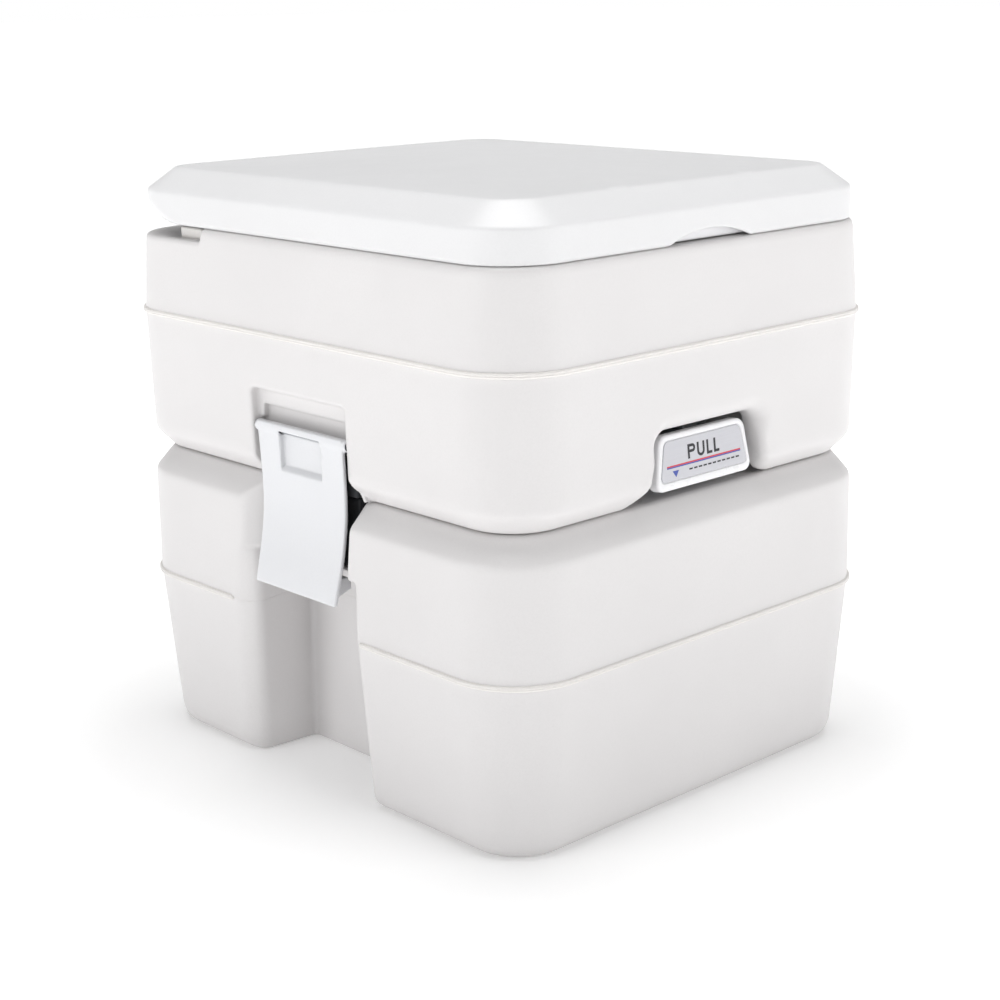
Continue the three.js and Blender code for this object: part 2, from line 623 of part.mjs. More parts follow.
// Soft bellows between the pump's base and its button, open at both ends.
function pumpBellows() {
  const folds = 4;
  const [low, high] = [372.3, 393.9];
  const pitch = (high - low) / folds;
  const outside = [];
  for (let k = 0; k < folds; k += 1) {
    outside.push([14, low + k * pitch], [17.5, low + (k + 0.5) * pitch]);
  }
  outside.push([14, high]);
  const inside = outside.map(([radius, z]) => [radius - 2, z]).reverse();
  return turned([...outside, ...inside, outside[0]], PUMP_AT, 20);
}

const pumpButtonProfile = [
  [0, 394.2], [18, 394.2], [18, 399], [17, 402], [14, 403.6], [9, 403.2], [0, 402],
];

function fillerCap() {
  const profile = [
    [17.1, 371], [20, 371], [20, 384], [18.5, 385.6], [0, 385.6], [0, 383], [17.1, 383], [17.1, 371],
  ];
  const bar = box([FILLER_AT[0] - 15, FILLER_AT[0] + 15], [FILLER_AT[1] - 2.5, FILLER_AT[1] + 2.5], [385, 392]);
  return turned(profile, FILLER_AT).add(bar);
}

add('upper_tank_bottom_shell', upperTankBottom(), 'tank');
add('upper_tank_top_shell', upperTankTop(), 'tank');
add('bowl', bowl(), 'bowl');
add('bowl_seal', ringZ(56, 67, [0, -9], [256.2, VALVE_ROOM_TOP - GAP]), 'rubber');
add('flush_nozzle', flushNozzle(), 'cap');
add('flush_tube', flushTube(), 'tube');
add('pump_base', pumpBase(), 'cap');
add('pump_bellows', pumpBellows(), 'bellows');
add('pump_button', turned(pumpButtonProfile, PUMP_AT), 'cap');
add('filler_cap_seal', ringZ(13.5, 16.5, FILLER_AT, [380.3, 382.7]), 'rubber');
add('filler_cap', fillerCap(), 'cap');

// ---------------------------------------------------------------- hinge
const hingeAt = [HINGE_Y, HINGE_Z];
const pinHole = cylinderX(HINGE_PIN_RADIUS + 0.4, hingeAt, [-140, 140]);

function hingeBlock(side) {
  const [near, far] = HINGE_SLOTS.block;
  const [x0, x1] = spanX(side, near, far);
  const arm = outlineOf([[153, 370], [176, 370], [188.6, 393.5], [181, 395.7], [174, 399]]);
  const knuckle = cylinderX(8, hingeAt, [x0, x1], SMALL_STEPS);
  const foot = box(spanX(side, near - 8, far + 8), [148, 186], [DECK + GAP, 371.8]);
  return joined(alongX(arm, x0, x1), knuckle, foot).subtract(pinHole);
}

for (const side of [-1, 1]) {
  const name = sideName(side);
  add(`hinge_block_${name}`, hingeBlock(side), 'tank');
  add(`hinge_pin_${name}`, cylinderX(HINGE_PIN_RADIUS, hingeAt, spanX(side, 91, 129), 12), 'steel');
}

// ---------------------------------------------------------------- seat
function seat() {
  const [halfX, halfY] = SEAT_HALF;
  const outside = oval([
    [SEAT_BOTTOM, halfX - 2, halfY - 2, SEAT_Y], [SEAT_BOTTOM + 2, halfX, halfY, SEAT_Y],
    [SEAT_TOP - 5, halfX, halfY, SEAT_Y], [SEAT_TOP - 1.5, halfX - 2.5, halfY - 2.5, SEAT_Y],
    [SEAT_TOP, halfX - 7, halfY - 7, SEAT_Y],
  ]);
  const [holeX, holeY] = SEAT_HOLE_HALF;
  const hole = oval([
    [SEAT_BOTTOM - 1, holeX, holeY, BOWL_Y], [SEAT_TOP - 5, holeX, holeY, BOWL_Y],
    [SEAT_TOP - 1.5, holeX + 2, holeY + 2, BOWL_Y], [SEAT_TOP + 1, holeX + 8, holeY + 8, BOWL_Y],
  ]);
  const [near, far] = HINGE_SLOTS.seat;
  const arm = outlineOf([[100, 386], [178, 386], [181, 388], [181, 397.5], [172, 396.5], [161, 391], [100, 391]]);
  const arms = [-1, 1].map((side) => {
    const [x0, x1] = spanX(side, near, far);
    return alongX(arm, x0, x1).add(cylinderX(8, hingeAt, [x0, x1], SMALL_STEPS));
  });
  const bridge = box([-far, far], [120, 162], [385.4, 392.2]);
  return cut(joined(outside, bridge, ...arms), hole, pinHole);
}

add('seat', seat(), 'seat');

const BUMPER_PLACES = [[82, 54], [-82, 54], [82, -126], [-82, -126]];
BUMPER_PLACES.forEach((at, number) => {
  const profile = [[0, 371.6], [5, 371.6], [6, 373], [6, 380.7], [0, 380.7]];
  add(`seat_bumper_${number + 1}`, turned(profile, at, 12), 'rubber');
});

// ---------------------------------------------------------------- lid
// What lies behind and below the rounded rear edge of the lid.
function behindRearEdge(radius) {
  const shape = new THREE.Shape();
  shape.moveTo(HINGE_Y, HINGE_Z - radius);
  shape.absarc(HINGE_Y, HINGE_Z, radius, -Math.PI / 2, 0);
  shape.lineTo(240, HINGE_Z);
  shape.lineTo(240, 360);
  shape.lineTo(HINGE_Y, 360);
  return alongX(shape, -220, 220);
}

function fingerNotch() {
  const shape = new THREE.Shape();
  shape.moveTo(-42, 370);
  shape.lineTo(-42, 377);
  shape.quadraticCurveTo(-31, 384.3, -16, 384.3);
  shape.lineTo(16, 384.3);
  shape.quadraticCurveTo(31, 384.3, 42, 377);
  shape.lineTo(42, 370);
  return alongY(shape, -230, -190);
}

function lid() {
  const outer = block(LID_LEVELS);
  const innerLevels = LID_LEVELS.map(([z, inset, radius], k) => [k ? z - WALL : z - 1, inset + WALL, radius]);
  innerLevels[1][0] = 398;
  innerLevels[2][1] = 31;
  const shell = outer.subtract(behindRearEdge(LID_REAR_RADIUS))
    .subtract(block(innerLevels).subtract(behindRearEdge(LID_REAR_RADIUS - WALL)));
  const cuts = [fingerNotch()];
  const lugs = [];
  for (const side of [-1, 1]) {
    const [near, far] = HINGE_SLOTS.lid;
    const lugOutline = outlineOf([[174, 392], [189, 395.7], [192, 415], [166, 415]]);
    const [x0, x1] = spanX(side, near, far);
    lugs.push(alongX(lugOutline, x0, x1).add(cylinderX(8, hingeAt, [x0, x1], SMALL_STEPS)).intersect(outer));
    cuts.push(box(spanX(side, HINGE_SLOTS.block[0] - 0.6, near), [176, 230], [360, 430]));
    cuts.push(box(spanX(side, HINGE_SLOTS.seat[0] - 0.7, near), [176, 230], [360, 386.5]));
  }
  const posts = [-60, 60].map((x) => cylinderZ(7, [x, -172], [400, 414], 12).intersect(outer));
  return cut(joined(shell, ...lugs, ...posts), pinHole, ...cuts);
}

add('lid', lid(), 'lid');
[-60, 60].forEach((x, number) => {
  add(`lid_bumper_${number + 1}`, cylinderZ(5, [x, -172], [SEAT_TOP + 0.4, 399.7], 12), 'rubber');
});

// ---------------------------------------------------------------- side latches
function latch(side) {
  const [topHalf, bottomHalf] = LATCH_HALF_Y;
  const top = LATCH_OUTER[0][1];
  const bottom = LATCH_OUTER[LATCH_OUTER.length - 1][1];
  const halfAt = (z) => bottomHalf + (topHalf - bottomHalf) * (z - bottom) / (top - bottom);
  const rings = LATCH_OUTER.map(([x, z]) => [
    new THREE.Vector3(side * x, -halfAt(z), z),
    new THREE.Vector3(side * x, halfAt(z), z),
    new THREE.Vector3(side * (x - LATCH_THICKNESS), halfAt(z), z),
    new THREE.Vector3(side * (x - LATCH_THICKNESS), -halfAt(z), z),
  ]);
  const plate = solid(loft(rings));
  const [pivotX, pivotZ] = LATCH_PIVOT;
  const knuckle = cylinderY(4, [side * pivotX, pivotZ], [-48.5, 48.5], SMALL_STEPS);
  const hook = outlineOf([
    [CATCH_X + 0.6, 150], [CATCH_X + 0.6, 157], [CATCH_X + 4, 158.6], [182, 158.6], [184, 146], [178, 146],
  ].map(([x, z]) => [side * x, z]));
  const window = box(spanX(side, 176.4, 190), [-22.5, 22.5], [223, 246]);
  const bore = cylinderY(2.9, [side * pivotX, pivotZ], [-60, 60], 12);
  return cut(joined(plate, knuckle, alongY(hook, -36, 36)), window, bore);
}

for (const side of [-1, 1]) {
  const [pivotX, pivotZ] = LATCH_PIVOT;
  const name = sideName(side);
  add(`latch_${name}`, latch(side), 'latch');
  add(`latch_pin_${name}`, cylinderY(2.4, [side * pivotX, pivotZ], [-51.8, 51.8], 12), 'steel');
}

export default toilet;
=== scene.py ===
"""Portable camp toilet: moulded shells, seat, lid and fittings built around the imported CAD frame.

Shapes are worked out in millimetres in the row frame (+Z up, front towards -Y) and turned into metres as meshes.
The moulded shells are distance fields, negative inside, that OpenVDB turns into surfaces.
"""

import json
import math

import bpy
import numpy as np
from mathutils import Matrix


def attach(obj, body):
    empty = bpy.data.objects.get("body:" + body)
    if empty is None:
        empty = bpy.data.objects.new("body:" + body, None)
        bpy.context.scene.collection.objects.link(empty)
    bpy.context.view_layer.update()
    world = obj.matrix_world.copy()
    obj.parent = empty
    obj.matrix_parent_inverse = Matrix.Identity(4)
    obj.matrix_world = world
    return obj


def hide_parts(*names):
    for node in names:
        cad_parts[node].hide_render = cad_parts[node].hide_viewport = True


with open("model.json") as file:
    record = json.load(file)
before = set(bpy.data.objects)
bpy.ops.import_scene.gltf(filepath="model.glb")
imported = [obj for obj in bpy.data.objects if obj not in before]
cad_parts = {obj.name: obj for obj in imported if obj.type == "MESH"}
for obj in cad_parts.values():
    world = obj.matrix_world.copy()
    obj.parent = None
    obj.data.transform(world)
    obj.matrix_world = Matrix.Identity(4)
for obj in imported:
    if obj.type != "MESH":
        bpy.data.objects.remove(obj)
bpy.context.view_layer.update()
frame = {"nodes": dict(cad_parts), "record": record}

import openvdb
from mathutils import Matrix, Vector

MM = 0.001
F32 = np.float32

# ---------------------------------------------------------------- dimensions, in millimetres
HALF_X, HALF_Y = 182.5, 207.5
CORNER = 52.0
WALL = 3.0
SEAM_LAP = 0.8  # how far the two halves of the lower tank run into each other at the weld
LOWER_SEAM, LOWER_TOP = 120.0, 213.2
UPPER_BOTTOM, UPPER_SEAM, RIM_TOP = 213.8, 314.2, 377.4
DECK = 368.0
LID_BOTTOM, LID_TOP, LID_INSET = 377.3, 420.0, 8.4
HINGE = (181.0, 395.7)
KNUCKLE, HINGE_BORE = 8, 3.4
OUTLET_Y = -5.0
BOWL_Y = -35.0
PUMP_AT = (134.0, -158.0)
FILLER_AT = (-134.0, -158.0)
SPOUT_AT = (-70.0, 178.0)
SPOUT_Z = 183.0
VENT_AT = (92.0, 178.0)
SHELF_Z = 150.0
LATCH_PIVOT = (174.5, 250.0)


# ---------------------------------------------------------------- distance fields
def meet(a, b, r=0.0):
    """What is in both, with outside edges rounded by r."""
    if np.ndim(r) == 0 and r <= 0:
        return np.maximum(a, b)
    return np.minimum(-r, np.maximum(a, b)) + np.hypot(np.maximum(r + a, 0), np.maximum(r + b, 0))


def join(a, b, r=0.0):
    """What is in either, with inside edges filled by a fillet of radius r."""
    if r <= 0:
        return np.minimum(a, b)
    return np.maximum(r, np.minimum(a, b)) - np.hypot(np.maximum(r - a, 0), np.maximum(r - b, 0))


def rounded_box(x, y, z, low, high, r):
    """A block from corner low to corner high with edges of radius r."""
    q = []
    for v, a, b in zip((x, y, z), low, high):
        q.append(np.abs(v - (a + b) / 2) - ((b - a) / 2 - r))
    outside = np.sqrt(sum(np.maximum(v, 0) ** 2 for v in q))
    inside = np.minimum(np.maximum(np.maximum(q[0], q[1]), q[2]), 0)
    return outside + inside - r


def rounded_rectangle(x, y, half_x, half_y, r):
    qx, qy = np.abs(x) - (half_x - r), np.abs(y) - (half_y - r)
    return np.hypot(np.maximum(qx, 0), np.maximum(qy, 0)) + np.minimum(np.maximum(qx, qy), 0) - r


def ramp(v, a, b):
    """From nought at a to one at b, eased at both ends."""
    t = np.clip((v - a) / (b - a), 0, 1)
    return t * t * (3 - 2 * t)


def smoothed(rows, rounds):
    """Evens out the last axis, ends kept."""
    for _ in range(rounds):
        rows[..., 1:-1] = (rows[..., :-2] + 2 * rows[..., 1:-1] + rows[..., 2:]) / 4
    return rows


def outline_distance(u, v, points):
    """Signed distance to a closed polygon in a plane."""
    nearest = np.full(np.broadcast(u, v).shape, 1e9, float)
    inside = np.zeros(nearest.shape, bool)
    for (x0, y0), (x1, y1) in zip(points, points[1:] + points[:1]):
        ex, ey = x1 - x0, y1 - y0
        px, py = u - x0, v - y0
        t = np.clip((px * ex + py * ey) / max(ex * ex + ey * ey, 1e-12), 0, 1)
        nearest = np.minimum(nearest, (px - ex * t) ** 2 + (py - ey * t) ** 2)
        crosses = (y0 > v) != (y1 > v)
        if ey:
            inside ^= crosses & (u < x0 + ex * (v - y0) / ey)
    return np.where(inside, -1, 1) * np.sqrt(nearest)


def softened(points, steps=8):
    """Points (u, v, cut): each corner is cut back that far along its sides and rounded off."""
    out = []
    count = len(points)
    for k, (u, v, cut) in enumerate(points):
        here = np.array((u, v), float)
        before = np.array(points[k - 1][:2], float) - here
        after = np.array(points[(k + 1) % count][:2], float) - here
        if cut <= 0:
            out.append((u, v))
            continue
        a = here + before * min(cut / np.linalg.norm(before), 0.48)
        b = here + after * min(cut / np.linalg.norm(after), 0.48)
        for t in np.linspace(0, 1, steps + 1):
            p = a * (1 - t) ** 2 + here * 2 * t * (1 - t) + b * t * t
            out.append((float(p[0]), float(p[1])))
    return out


class Field:
    """A distance field on a grid of points."""

    def __init__(self, low, high, step):
        step = np.broadcast_to(np.array(step, float), 3)
        self.low = np.array(low, float) - 3 * step
        self.step = step
        self.axes = [
            np.arange(a, b + 3.01 * s, s).astype(F32) for a, b, s in zip(self.low, high, step)
        ]
        self.values = np.full([len(a) for a in self.axes], 50, F32)

    def grid(self, low=None, high=None):
        """Slices and coordinates of the points between two corners."""
        cuts = []
        for k, axis in enumerate(self.axes):
            a = 0 if low is None or low[k] is None else int(np.searchsorted(axis, low[k]))
            b = len(axis) if high is None or high[k] is None else int(np.searchsorted(axis, high[k]))
            cuts.append(slice(a, b))
        x, y, z = (axis[c] for axis, c in zip(self.axes, cuts))
        return tuple(cuts), x[:, None, None], y[None, :, None], z[None, None, :]

    def change(self, operation, low=None, high=None):
        cuts, x, y, z = self.grid(low, high)
        self.values[cuts] = operation(self.values[cuts], x, y, z)
        return self

    def sample(self, index):
        """Values between the grid's points."""
        top = np.array(self.values.shape) - 1.001
        p = np.clip(index, 0, top)
        i = p.astype(int)
        f = p - i
        total = 0
        for dx in (0, 1):
            for dy in (0, 1):
                for dz in (0, 1):
                    weight = (
                        (f[:, 0] if dx else 1 - f[:, 0])
                        * (f[:, 1] if dy else 1 - f[:, 1])
                        * (f[:, 2] if dz else 1 - f[:, 2])
                    )
                    total = total + weight * self.values[i[:, 0] + dx, i[:, 1] + dy, i[:, 2] + dz]
        return total

    def mesh(self, name, adaptivity=0.02):
        """The surface where the distance is nought, with normals from the field's slope."""
        band = 3 * float(self.step.max())
        grid = openvdb.FloatGrid(band)
        grid.copyFromArray(np.ascontiguousarray(np.clip(self.values, -band, band)))
        points, triangles, quads = grid.convertToPolygons(isovalue=0.0, adaptivity=adaptivity)
        normals = np.empty_like(points)
        for k in range(3):
            ahead, behind = points.copy(), points.copy()
            ahead[:, k] += 0.8
            behind[:, k] -= 0.8
            normals[:, k] = (self.sample(ahead) - self.sample(behind)) / self.step[k]
        normals /= np.maximum(np.linalg.norm(normals, axis=1), 1e-9)[:, None]
        mesh = bpy.data.meshes.new(name)
        faces = triangles.tolist() + quads.tolist()
        mesh.from_pydata(((points * self.step + self.low) * MM).tolist(), [], faces)
        mesh.polygons.foreach_set("use_smooth", np.ones(len(faces), bool))
        mesh.update()
        mesh.normals_split_custom_set_from_vertices(normals.tolist())
        return mesh


def piece(mesh, body, material, *nodes):
    """An object with its mesh's name that rides on a body and takes the place of CAD nodes."""
    obj = bpy.data.objects.new(mesh.name, mesh)
    bpy.context.scene.collection.objects.link(obj)
    mesh.materials.clear()
    mesh.materials.append(material)
    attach(obj, body)
    if nodes:
        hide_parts(*nodes)


def body_of(node):
    """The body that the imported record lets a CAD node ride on."""
    return next(b for b, names in frame["record"]["behaviour"]["bodies"].items() if node in names)


def surface_of_rings(name, rings, closed=False, caps=False, sharp=None):
    """A mesh through rings of points that close on themselves; closed joins the last ring to the first."""
    rings = np.array(rings, float)
    count, sides = rings.shape[:2]
    faces = []
    for k in range(count if closed else count - 1):
        a, b = k * sides, ((k + 1) % count) * sides
        for i in range(sides):
            j = (i + 1) % sides
            faces.append((a + i, a + j, b + j, b + i))
    if caps:
        faces.append(tuple(range(sides))[::-1])
        faces.append(tuple((count - 1) * sides + i for i in range(sides)))
    mesh = bpy.data.meshes.new(name)
    mesh.from_pydata((rings.reshape(-1, 3) * MM).tolist(), [], faces)
    finish_mesh(mesh, sharp)
    return mesh


def finish_mesh(mesh, sharp=None):
    """Turns the faces outwards and shades them smooth, with edges over the sharp angle in degrees kept crisp."""
    mesh.update()
    co = np.empty(len(mesh.vertices) * 3)
    mesh.vertices.foreach_get("co", co)
    co = co.reshape(-1, 3)
    mesh.calc_loop_triangles()
    tri = np.empty(len(mesh.loop_triangles) * 3, int)
    mesh.loop_triangles.foreach_get("vertices", tri)
    a, b, c = (co[tri.reshape(-1, 3)[:, k]] for k in range(3))
    if np.einsum("ij,ij->i", a, np.cross(b, c)).sum() < 0:
        mesh.flip_normals()
    mesh.polygons.foreach_set("use_smooth", np.ones(len(mesh.polygons), bool))
    if sharp is not None:
        mesh.set_sharp_from_angle(angle=math.radians(sharp))
    mesh.update()


def turned(name, profile, origin, axis=(0, 0, 1), steps=64, ribs=None, sharp=35):
    """A turned piece from (radius, height[, cut]) points in a closed outline.

    ribs(radius, height, angle) moves the radius.
    """
    outline = softened([(p[0], p[1], p[2] if len(p) > 2 else 0) for p in profile], 4)
    z = Vector(axis).normalized()
    x = z.orthogonal().normalized()
    y = z.cross(x)
    x, y, z, origin = (np.array(v) for v in (x, y, z, origin))
    angles = np.linspace(0, 2 * math.pi, steps, endpoint=False)
    rings = []
    for radius, height in outline:
        ring = []
        for angle in angles:
            r = max(radius, 0.02)
            if ribs:
                r = ribs(r, height, angle)
            ring.append(origin + x * r * math.cos(angle) + y * r * math.sin(angle) + z * height)
        rings.append(ring)
    return surface_of_rings(name, rings, closed=True, sharp=sharp)


def swept(name, path, radius, bore=0.0, sides=32, sharp=35):
    """A round bar or pipe along points."""
    path = [Vector(p) for p in path]
    count = len(path)
    tangents = [
        (path[min(k + 1, count - 1)] - path[max(k - 1, 0)]).normalized() for k in range(count)
    ]
    normal = tangents[0].orthogonal().normalized()
    frames = []
    for k in range(count):
        normal = (normal - tangents[k] * normal.dot(tangents[k])).normalized()
        frames.append((normal.copy(), tangents[k].cross(normal)))
    angles = np.linspace(0, 2 * math.pi, sides, endpoint=False)

    def ring(k, r):
        n, b = frames[k]
        return [tuple(path[k] + n * r * math.cos(a) + b * r * math.sin(a)) for a in angles]

    edge = min(0.4, radius / 5)
    rings = [ring(k, radius - (edge if k in (0, count - 1) else 0)) for k in range(count)]
    if bore > 0:
        rings += [ring(k, bore) for k in reversed(range(count))]
        return surface_of_rings(name, rings, closed=True, sharp=sharp)
    return surface_of_rings(name, rings, caps=True, sharp=sharp)


# ---------------------------------------------------------------- materials
def spread(tree, value, *limits):
    """Maps a value: limits are from low, from high, to low, to high."""
    node = tree.nodes.new("ShaderNodeMapRange")
    for k, limit in enumerate(limits):
        node.inputs[k + 1].default_value = limit
    tree.links.new(value, node.inputs[0])
    return node.outputs[0]


def plastic(
    name,
    colour,
    roughness=0.45,
    grain=0.00012,
    grain_scale=1500.0,
    mottle=0.018,
    edge_wear_and_nook_shade=0.06,
    metallic=0.0,
    specular=0.5,
    orange=0.00035,
    streak=0.0,
    subsurface=0.0,
    crevice=0.0,
):
    """Moulded material: faint mottling, fine texture, slow waviness, paler worn edges, and painted shade that darkens
    nooks and crevices.
    """
    material = bpy.data.materials.new(name)
    material.use_nodes = True
    tree = material.node_tree
    shader = tree.nodes["Principled BSDF"]
    nodes, links = tree.nodes, tree.links
    coords = nodes.new("ShaderNodeTexCoord")

    def noise(scale, detail, rough=0.5):
        node = nodes.new("ShaderNodeTexNoise")
        node.inputs["Scale"].default_value = scale
        node.inputs["Detail"].default_value = detail
        node.inputs["Roughness"].default_value = rough
        links.new(coords.outputs["Object"], node.inputs["Vector"])
        return node.outputs["Fac"]

    def blend(factor, a, b):
        node = nodes.new("ShaderNodeMix")
        node.data_type = "RGBA"
        for socket, value in ((node.inputs[0], factor), (node.inputs[6], a), (node.inputs[7], b)):
            if isinstance(value, (int, float)):
                socket.default_value = value
            elif isinstance(value, tuple):
                socket.default_value = (*value, 1.0)
            else:
                links.new(value, socket)
        return node.outputs[2]

    pale = tuple(min(1.0, c * (1 + mottle)) for c in colour)
    dark = tuple(c * (1 - mottle) for c in colour)
    tone = blend(spread(tree, noise(9, 3, 0.55), 0.3, 0.7, 0, 1), dark, pale)
    fleck = spread(tree, noise(700, 2), 0.4, 0.75, 0, 0.5)
    tone = blend(fleck, tone, tuple(c * (1 - 1.6 * mottle) for c in colour))
    if streak:
        stretch = nodes.new("ShaderNodeMapping")
        stretch.inputs["Scale"].default_value = (30, 30, 900)
        links.new(coords.outputs["Object"], stretch.inputs["Vector"])
        brushed = nodes.new("ShaderNodeTexNoise")
        brushed.inputs["Scale"].default_value = 1
        links.new(stretch.outputs["Vector"], brushed.inputs["Vector"])
        tone = blend(spread(tree, brushed.outputs["Fac"], 0.3, 0.7, 0, streak), tone, (0.1, 0.1, 0.1))
    # Painted shade: an ambient occlusion node darkens the colour in creases and gaps, where shade falls.
    if crevice:
        near = nodes.new("ShaderNodeAmbientOcclusion")
        near.samples = 4
        near.inputs["Distance"].default_value = 0.022
        painted_shade_mask = spread(tree, near.outputs["AO"], 0.25, 0.85, crevice, 0)
        tone = blend(painted_shade_mask, tone, tuple(c * k for c, k in zip(colour, (0.3, 0.285, 0.27))))
    geometry = nodes.new("ShaderNodeNewGeometry")
    # Paler edges are worn plastic; the darker nooks are painted shade, at the same strength as the paler edges.
    edge = spread(tree, geometry.outputs["Pointiness"], 0.515, 0.60, 0, edge_wear_and_nook_shade)
    nook = spread(tree, geometry.outputs["Pointiness"], 0.485, 0.40, 0, edge_wear_and_nook_shade)
    tone = blend(edge, tone, tuple(min(1.0, c * 1.12 + 0.03) for c in colour))
    tone = blend(nook, tone, tuple(c * 0.55 for c in colour))
    links.new(tone, shader.inputs["Base Color"])
    rough = spread(tree, noise(60, 4, 0.6), 0.25, 0.75, roughness - 0.05, roughness + 0.05)
    links.new(rough, shader.inputs["Roughness"])
    shader.inputs["Metallic"].default_value = metallic
    shader.inputs["Specular IOR Level"].default_value = specular
    if subsurface:
        shader.inputs["Subsurface Weight"].default_value = subsurface
        shader.inputs["Subsurface Radius"].default_value = (0.006, 0.005, 0.004)
        shader.inputs["Subsurface Scale"].default_value = 1.0
    fine = nodes.new("ShaderNodeBump")
    fine.inputs["Strength"].default_value = 0.35
    fine.inputs["Distance"].default_value = grain
    links.new(noise(grain_scale, 2), fine.inputs["Height"])
    slow = nodes.new("ShaderNodeBump")
    slow.inputs["Strength"].default_value = 0.25
    slow.inputs["Distance"].default_value = orange
    links.new(noise(14, 1), slow.inputs["Height"])
    links.new(fine.outputs["Normal"], slow.inputs["Normal"])
    links.new(slow.outputs["Normal"], shader.inputs["Normal"])
    return material


def linear(r, g, b):
    """A colour given as 0-255 screen values."""
    return tuple((v / 255) ** 2.2 for v in (r, g, b))


# The tank, lid and latch plastics take painted shade in their crevices.
tank_mat = plastic("tank_plastic", linear(226, 224, 224), 0.42, crevice=0.2)
bead_mat = plastic("weld_bead_plastic", linear(236, 233, 230), 0.38, mottle=0.03)
lid_mat = plastic("lid_plastic", linear(230, 230, 231), 0.38, crevice=0.1)
seat_mat = plastic("seat_plastic", linear(238, 238, 240), 0.3)
latch_mat = plastic("latch_plastic", linear(229, 230, 233), 0.36, crevice=0.2)
handle_mat = plastic("handle_plastic", linear(246, 246, 248), 0.3)
label_mat = plastic("label_print", linear(208, 208, 214), 0.35,
                    grain=0.00003, edge_wear_and_nook_shade=0.02, streak=0.05)
ink_mat = plastic("label_ink_black", linear(34, 34, 40), 0.4, edge_wear_and_nook_shade=0.02)
red_mat = plastic("label_ink_red", linear(214, 70, 74), 0.4, edge_wear_and_nook_shade=0.02)
blue_mat = plastic("label_ink_blue", linear(66, 84, 168), 0.4, edge_wear_and_nook_shade=0.02)
bowl_mat = plastic("bowl_plastic", linear(240, 240, 241), 0.24)
rubber_mat = plastic("seal_rubber", linear(46, 47, 50), 0.75, grain=0.0002, mottle=0.12, edge_wear_and_nook_shade=0.2)
valve_mat = plastic("valve_plastic", linear(172, 175, 180), 0.42, mottle=0.03)
blade_mat = plastic("blade_plastic", linear(200, 203, 208), 0.3, streak=0.08)
steel_mat = plastic("screw_steel", linear(190, 192, 196), 0.28, metallic=1.0, streak=0.2, edge_wear_and_nook_shade=0.1)
cap_mat = plastic("cap_plastic", linear(224, 224, 227), 0.36)
tube_mat = plastic("tube_plastic", linear(214, 222, 228), 0.22, subsurface=0.3)
bellows_mat = plastic("bellows_rubber", linear(120, 124, 130), 0.6, mottle=0.06, edge_wear_and_nook_shade=0.2)


# ---------------------------------------------------------------- tank shells
def tank_block(field, profile, floor=-60.0):
    """Values of a rounded block from its (distance, height, cut) outline, the distance read from the overall size."""
    points = softened(profile)
    across = np.arange(floor, 6.0, 0.25)
    height = field.axes[2].astype(float)
    table = outline_distance(across[:, None], height[None, :], points)
    d = rounded_rectangle(
        field.axes[0][:, None], field.axes[1][None, :], HALF_X, HALF_Y, CORNER
    ).astype(float)
    flat = np.clip(d, floor, 5.9).ravel()
    out = np.empty(field.values.shape, F32)
    for k in range(len(height)):
        out[:, :, k] = np.interp(flat, across, table[:, k]).reshape(d.shape)
    return out


def hollow(field):
    """Leaves a wall."""
    field.values = np.maximum(field.values, -(field.values + WALL)).astype(F32)


def hand_recess(x, y, z):
    """Recess in each side of the lower tank, from the ground up to the ledge that the latch hooks under."""
    ax = np.abs(x)
    levels = np.array([-5.0, 38, 116, 160])
    floor_y = np.interp(z, levels, [73, 72, 71, 70])
    corner_x = np.interp(z, levels, [161, 165, 172, 173])
    corner_y = np.interp(z, levels, [77, 71, 61.2, 57.9])
    edge_y = np.interp(z, levels, [118, 106.7, 87.1, 82.4])
    rear_1 = y - (floor_y + (corner_y - floor_y) * (ax - 119) / (corner_x - 119))
    slope = (edge_y - corner_y) / (190.5 - corner_x)
    rear_2 = (y - (corner_y + slope * (ax - corner_x))) / np.sqrt(1 + slope**2)
    rear = join(rear_1, rear_2, 4.5)
    recess = meet(119 - ax, -55 - y, 5.0)
    recess = meet(recess, rear, 3.0)
    return meet(recess, z - 160, 1.5)


def latch_recess(x, y, z):
    """Shallow recess behind the latch, open at the top, with a slanted face at its rear and a deep gap at its front."""
    ax = np.abs(x)
    front = np.interp(z, [157, 213], [-46.5, -53])
    behind = meet(166 - ax, np.maximum(y - 48, front - y), 3.0)
    rear = y - np.interp(z, [159, 230], [49.5, 46]) - 1.394 * (ax - 167)
    relief = np.maximum(np.maximum(166 - ax, rear / 1.716), 30 - y)
    gap = np.maximum(148 - ax, np.maximum(y + 15, front - y))
    gap = np.maximum(gap, 163 - z)
    return join(np.maximum(join(behind, relief, 0.5), 159 - z), gap, 0.5)


def change_sides(field, operation, inner, low_y, high_y, top=None):
    """Changes the field at both sides, from X = inner outwards."""
    for a, b in ((-200, -inner), (inner, 200)):
        field.change(operation, [a, low_y, None], [b, high_y, top])


def carve_recesses(field):
    change_sides(field, lambda v, x, y, z: meet(v, -hand_recess(x, y, z), 4.0), 110, -75, 125)
    change_sides(field, lambda v, x, y, z: meet(v, -latch_recess(x, y, z), 2.5), 110, -75, 125)


def lower_bottom():
    field = Field((-HALF_X, -HALF_Y, 0), (HALF_X, HALF_Y, LOWER_SEAM), (1.25, 1.25, 1.25))
    field.values = tank_block(field, [
        (-190, 0, 0), (-19, 0, 3), (-14.5, 3, 4), (-11.5, 9, 6), (-2, 121, 0), (-2, 150, 0), (-190, 150, 0),
    ])
    carve_recesses(field)
    hollow(field)
    field.change(lambda v, x, y, z: np.maximum(v, z - (LOWER_SEAM + SEAM_LAP)))
    return field.mesh("lower_tank_bottom")


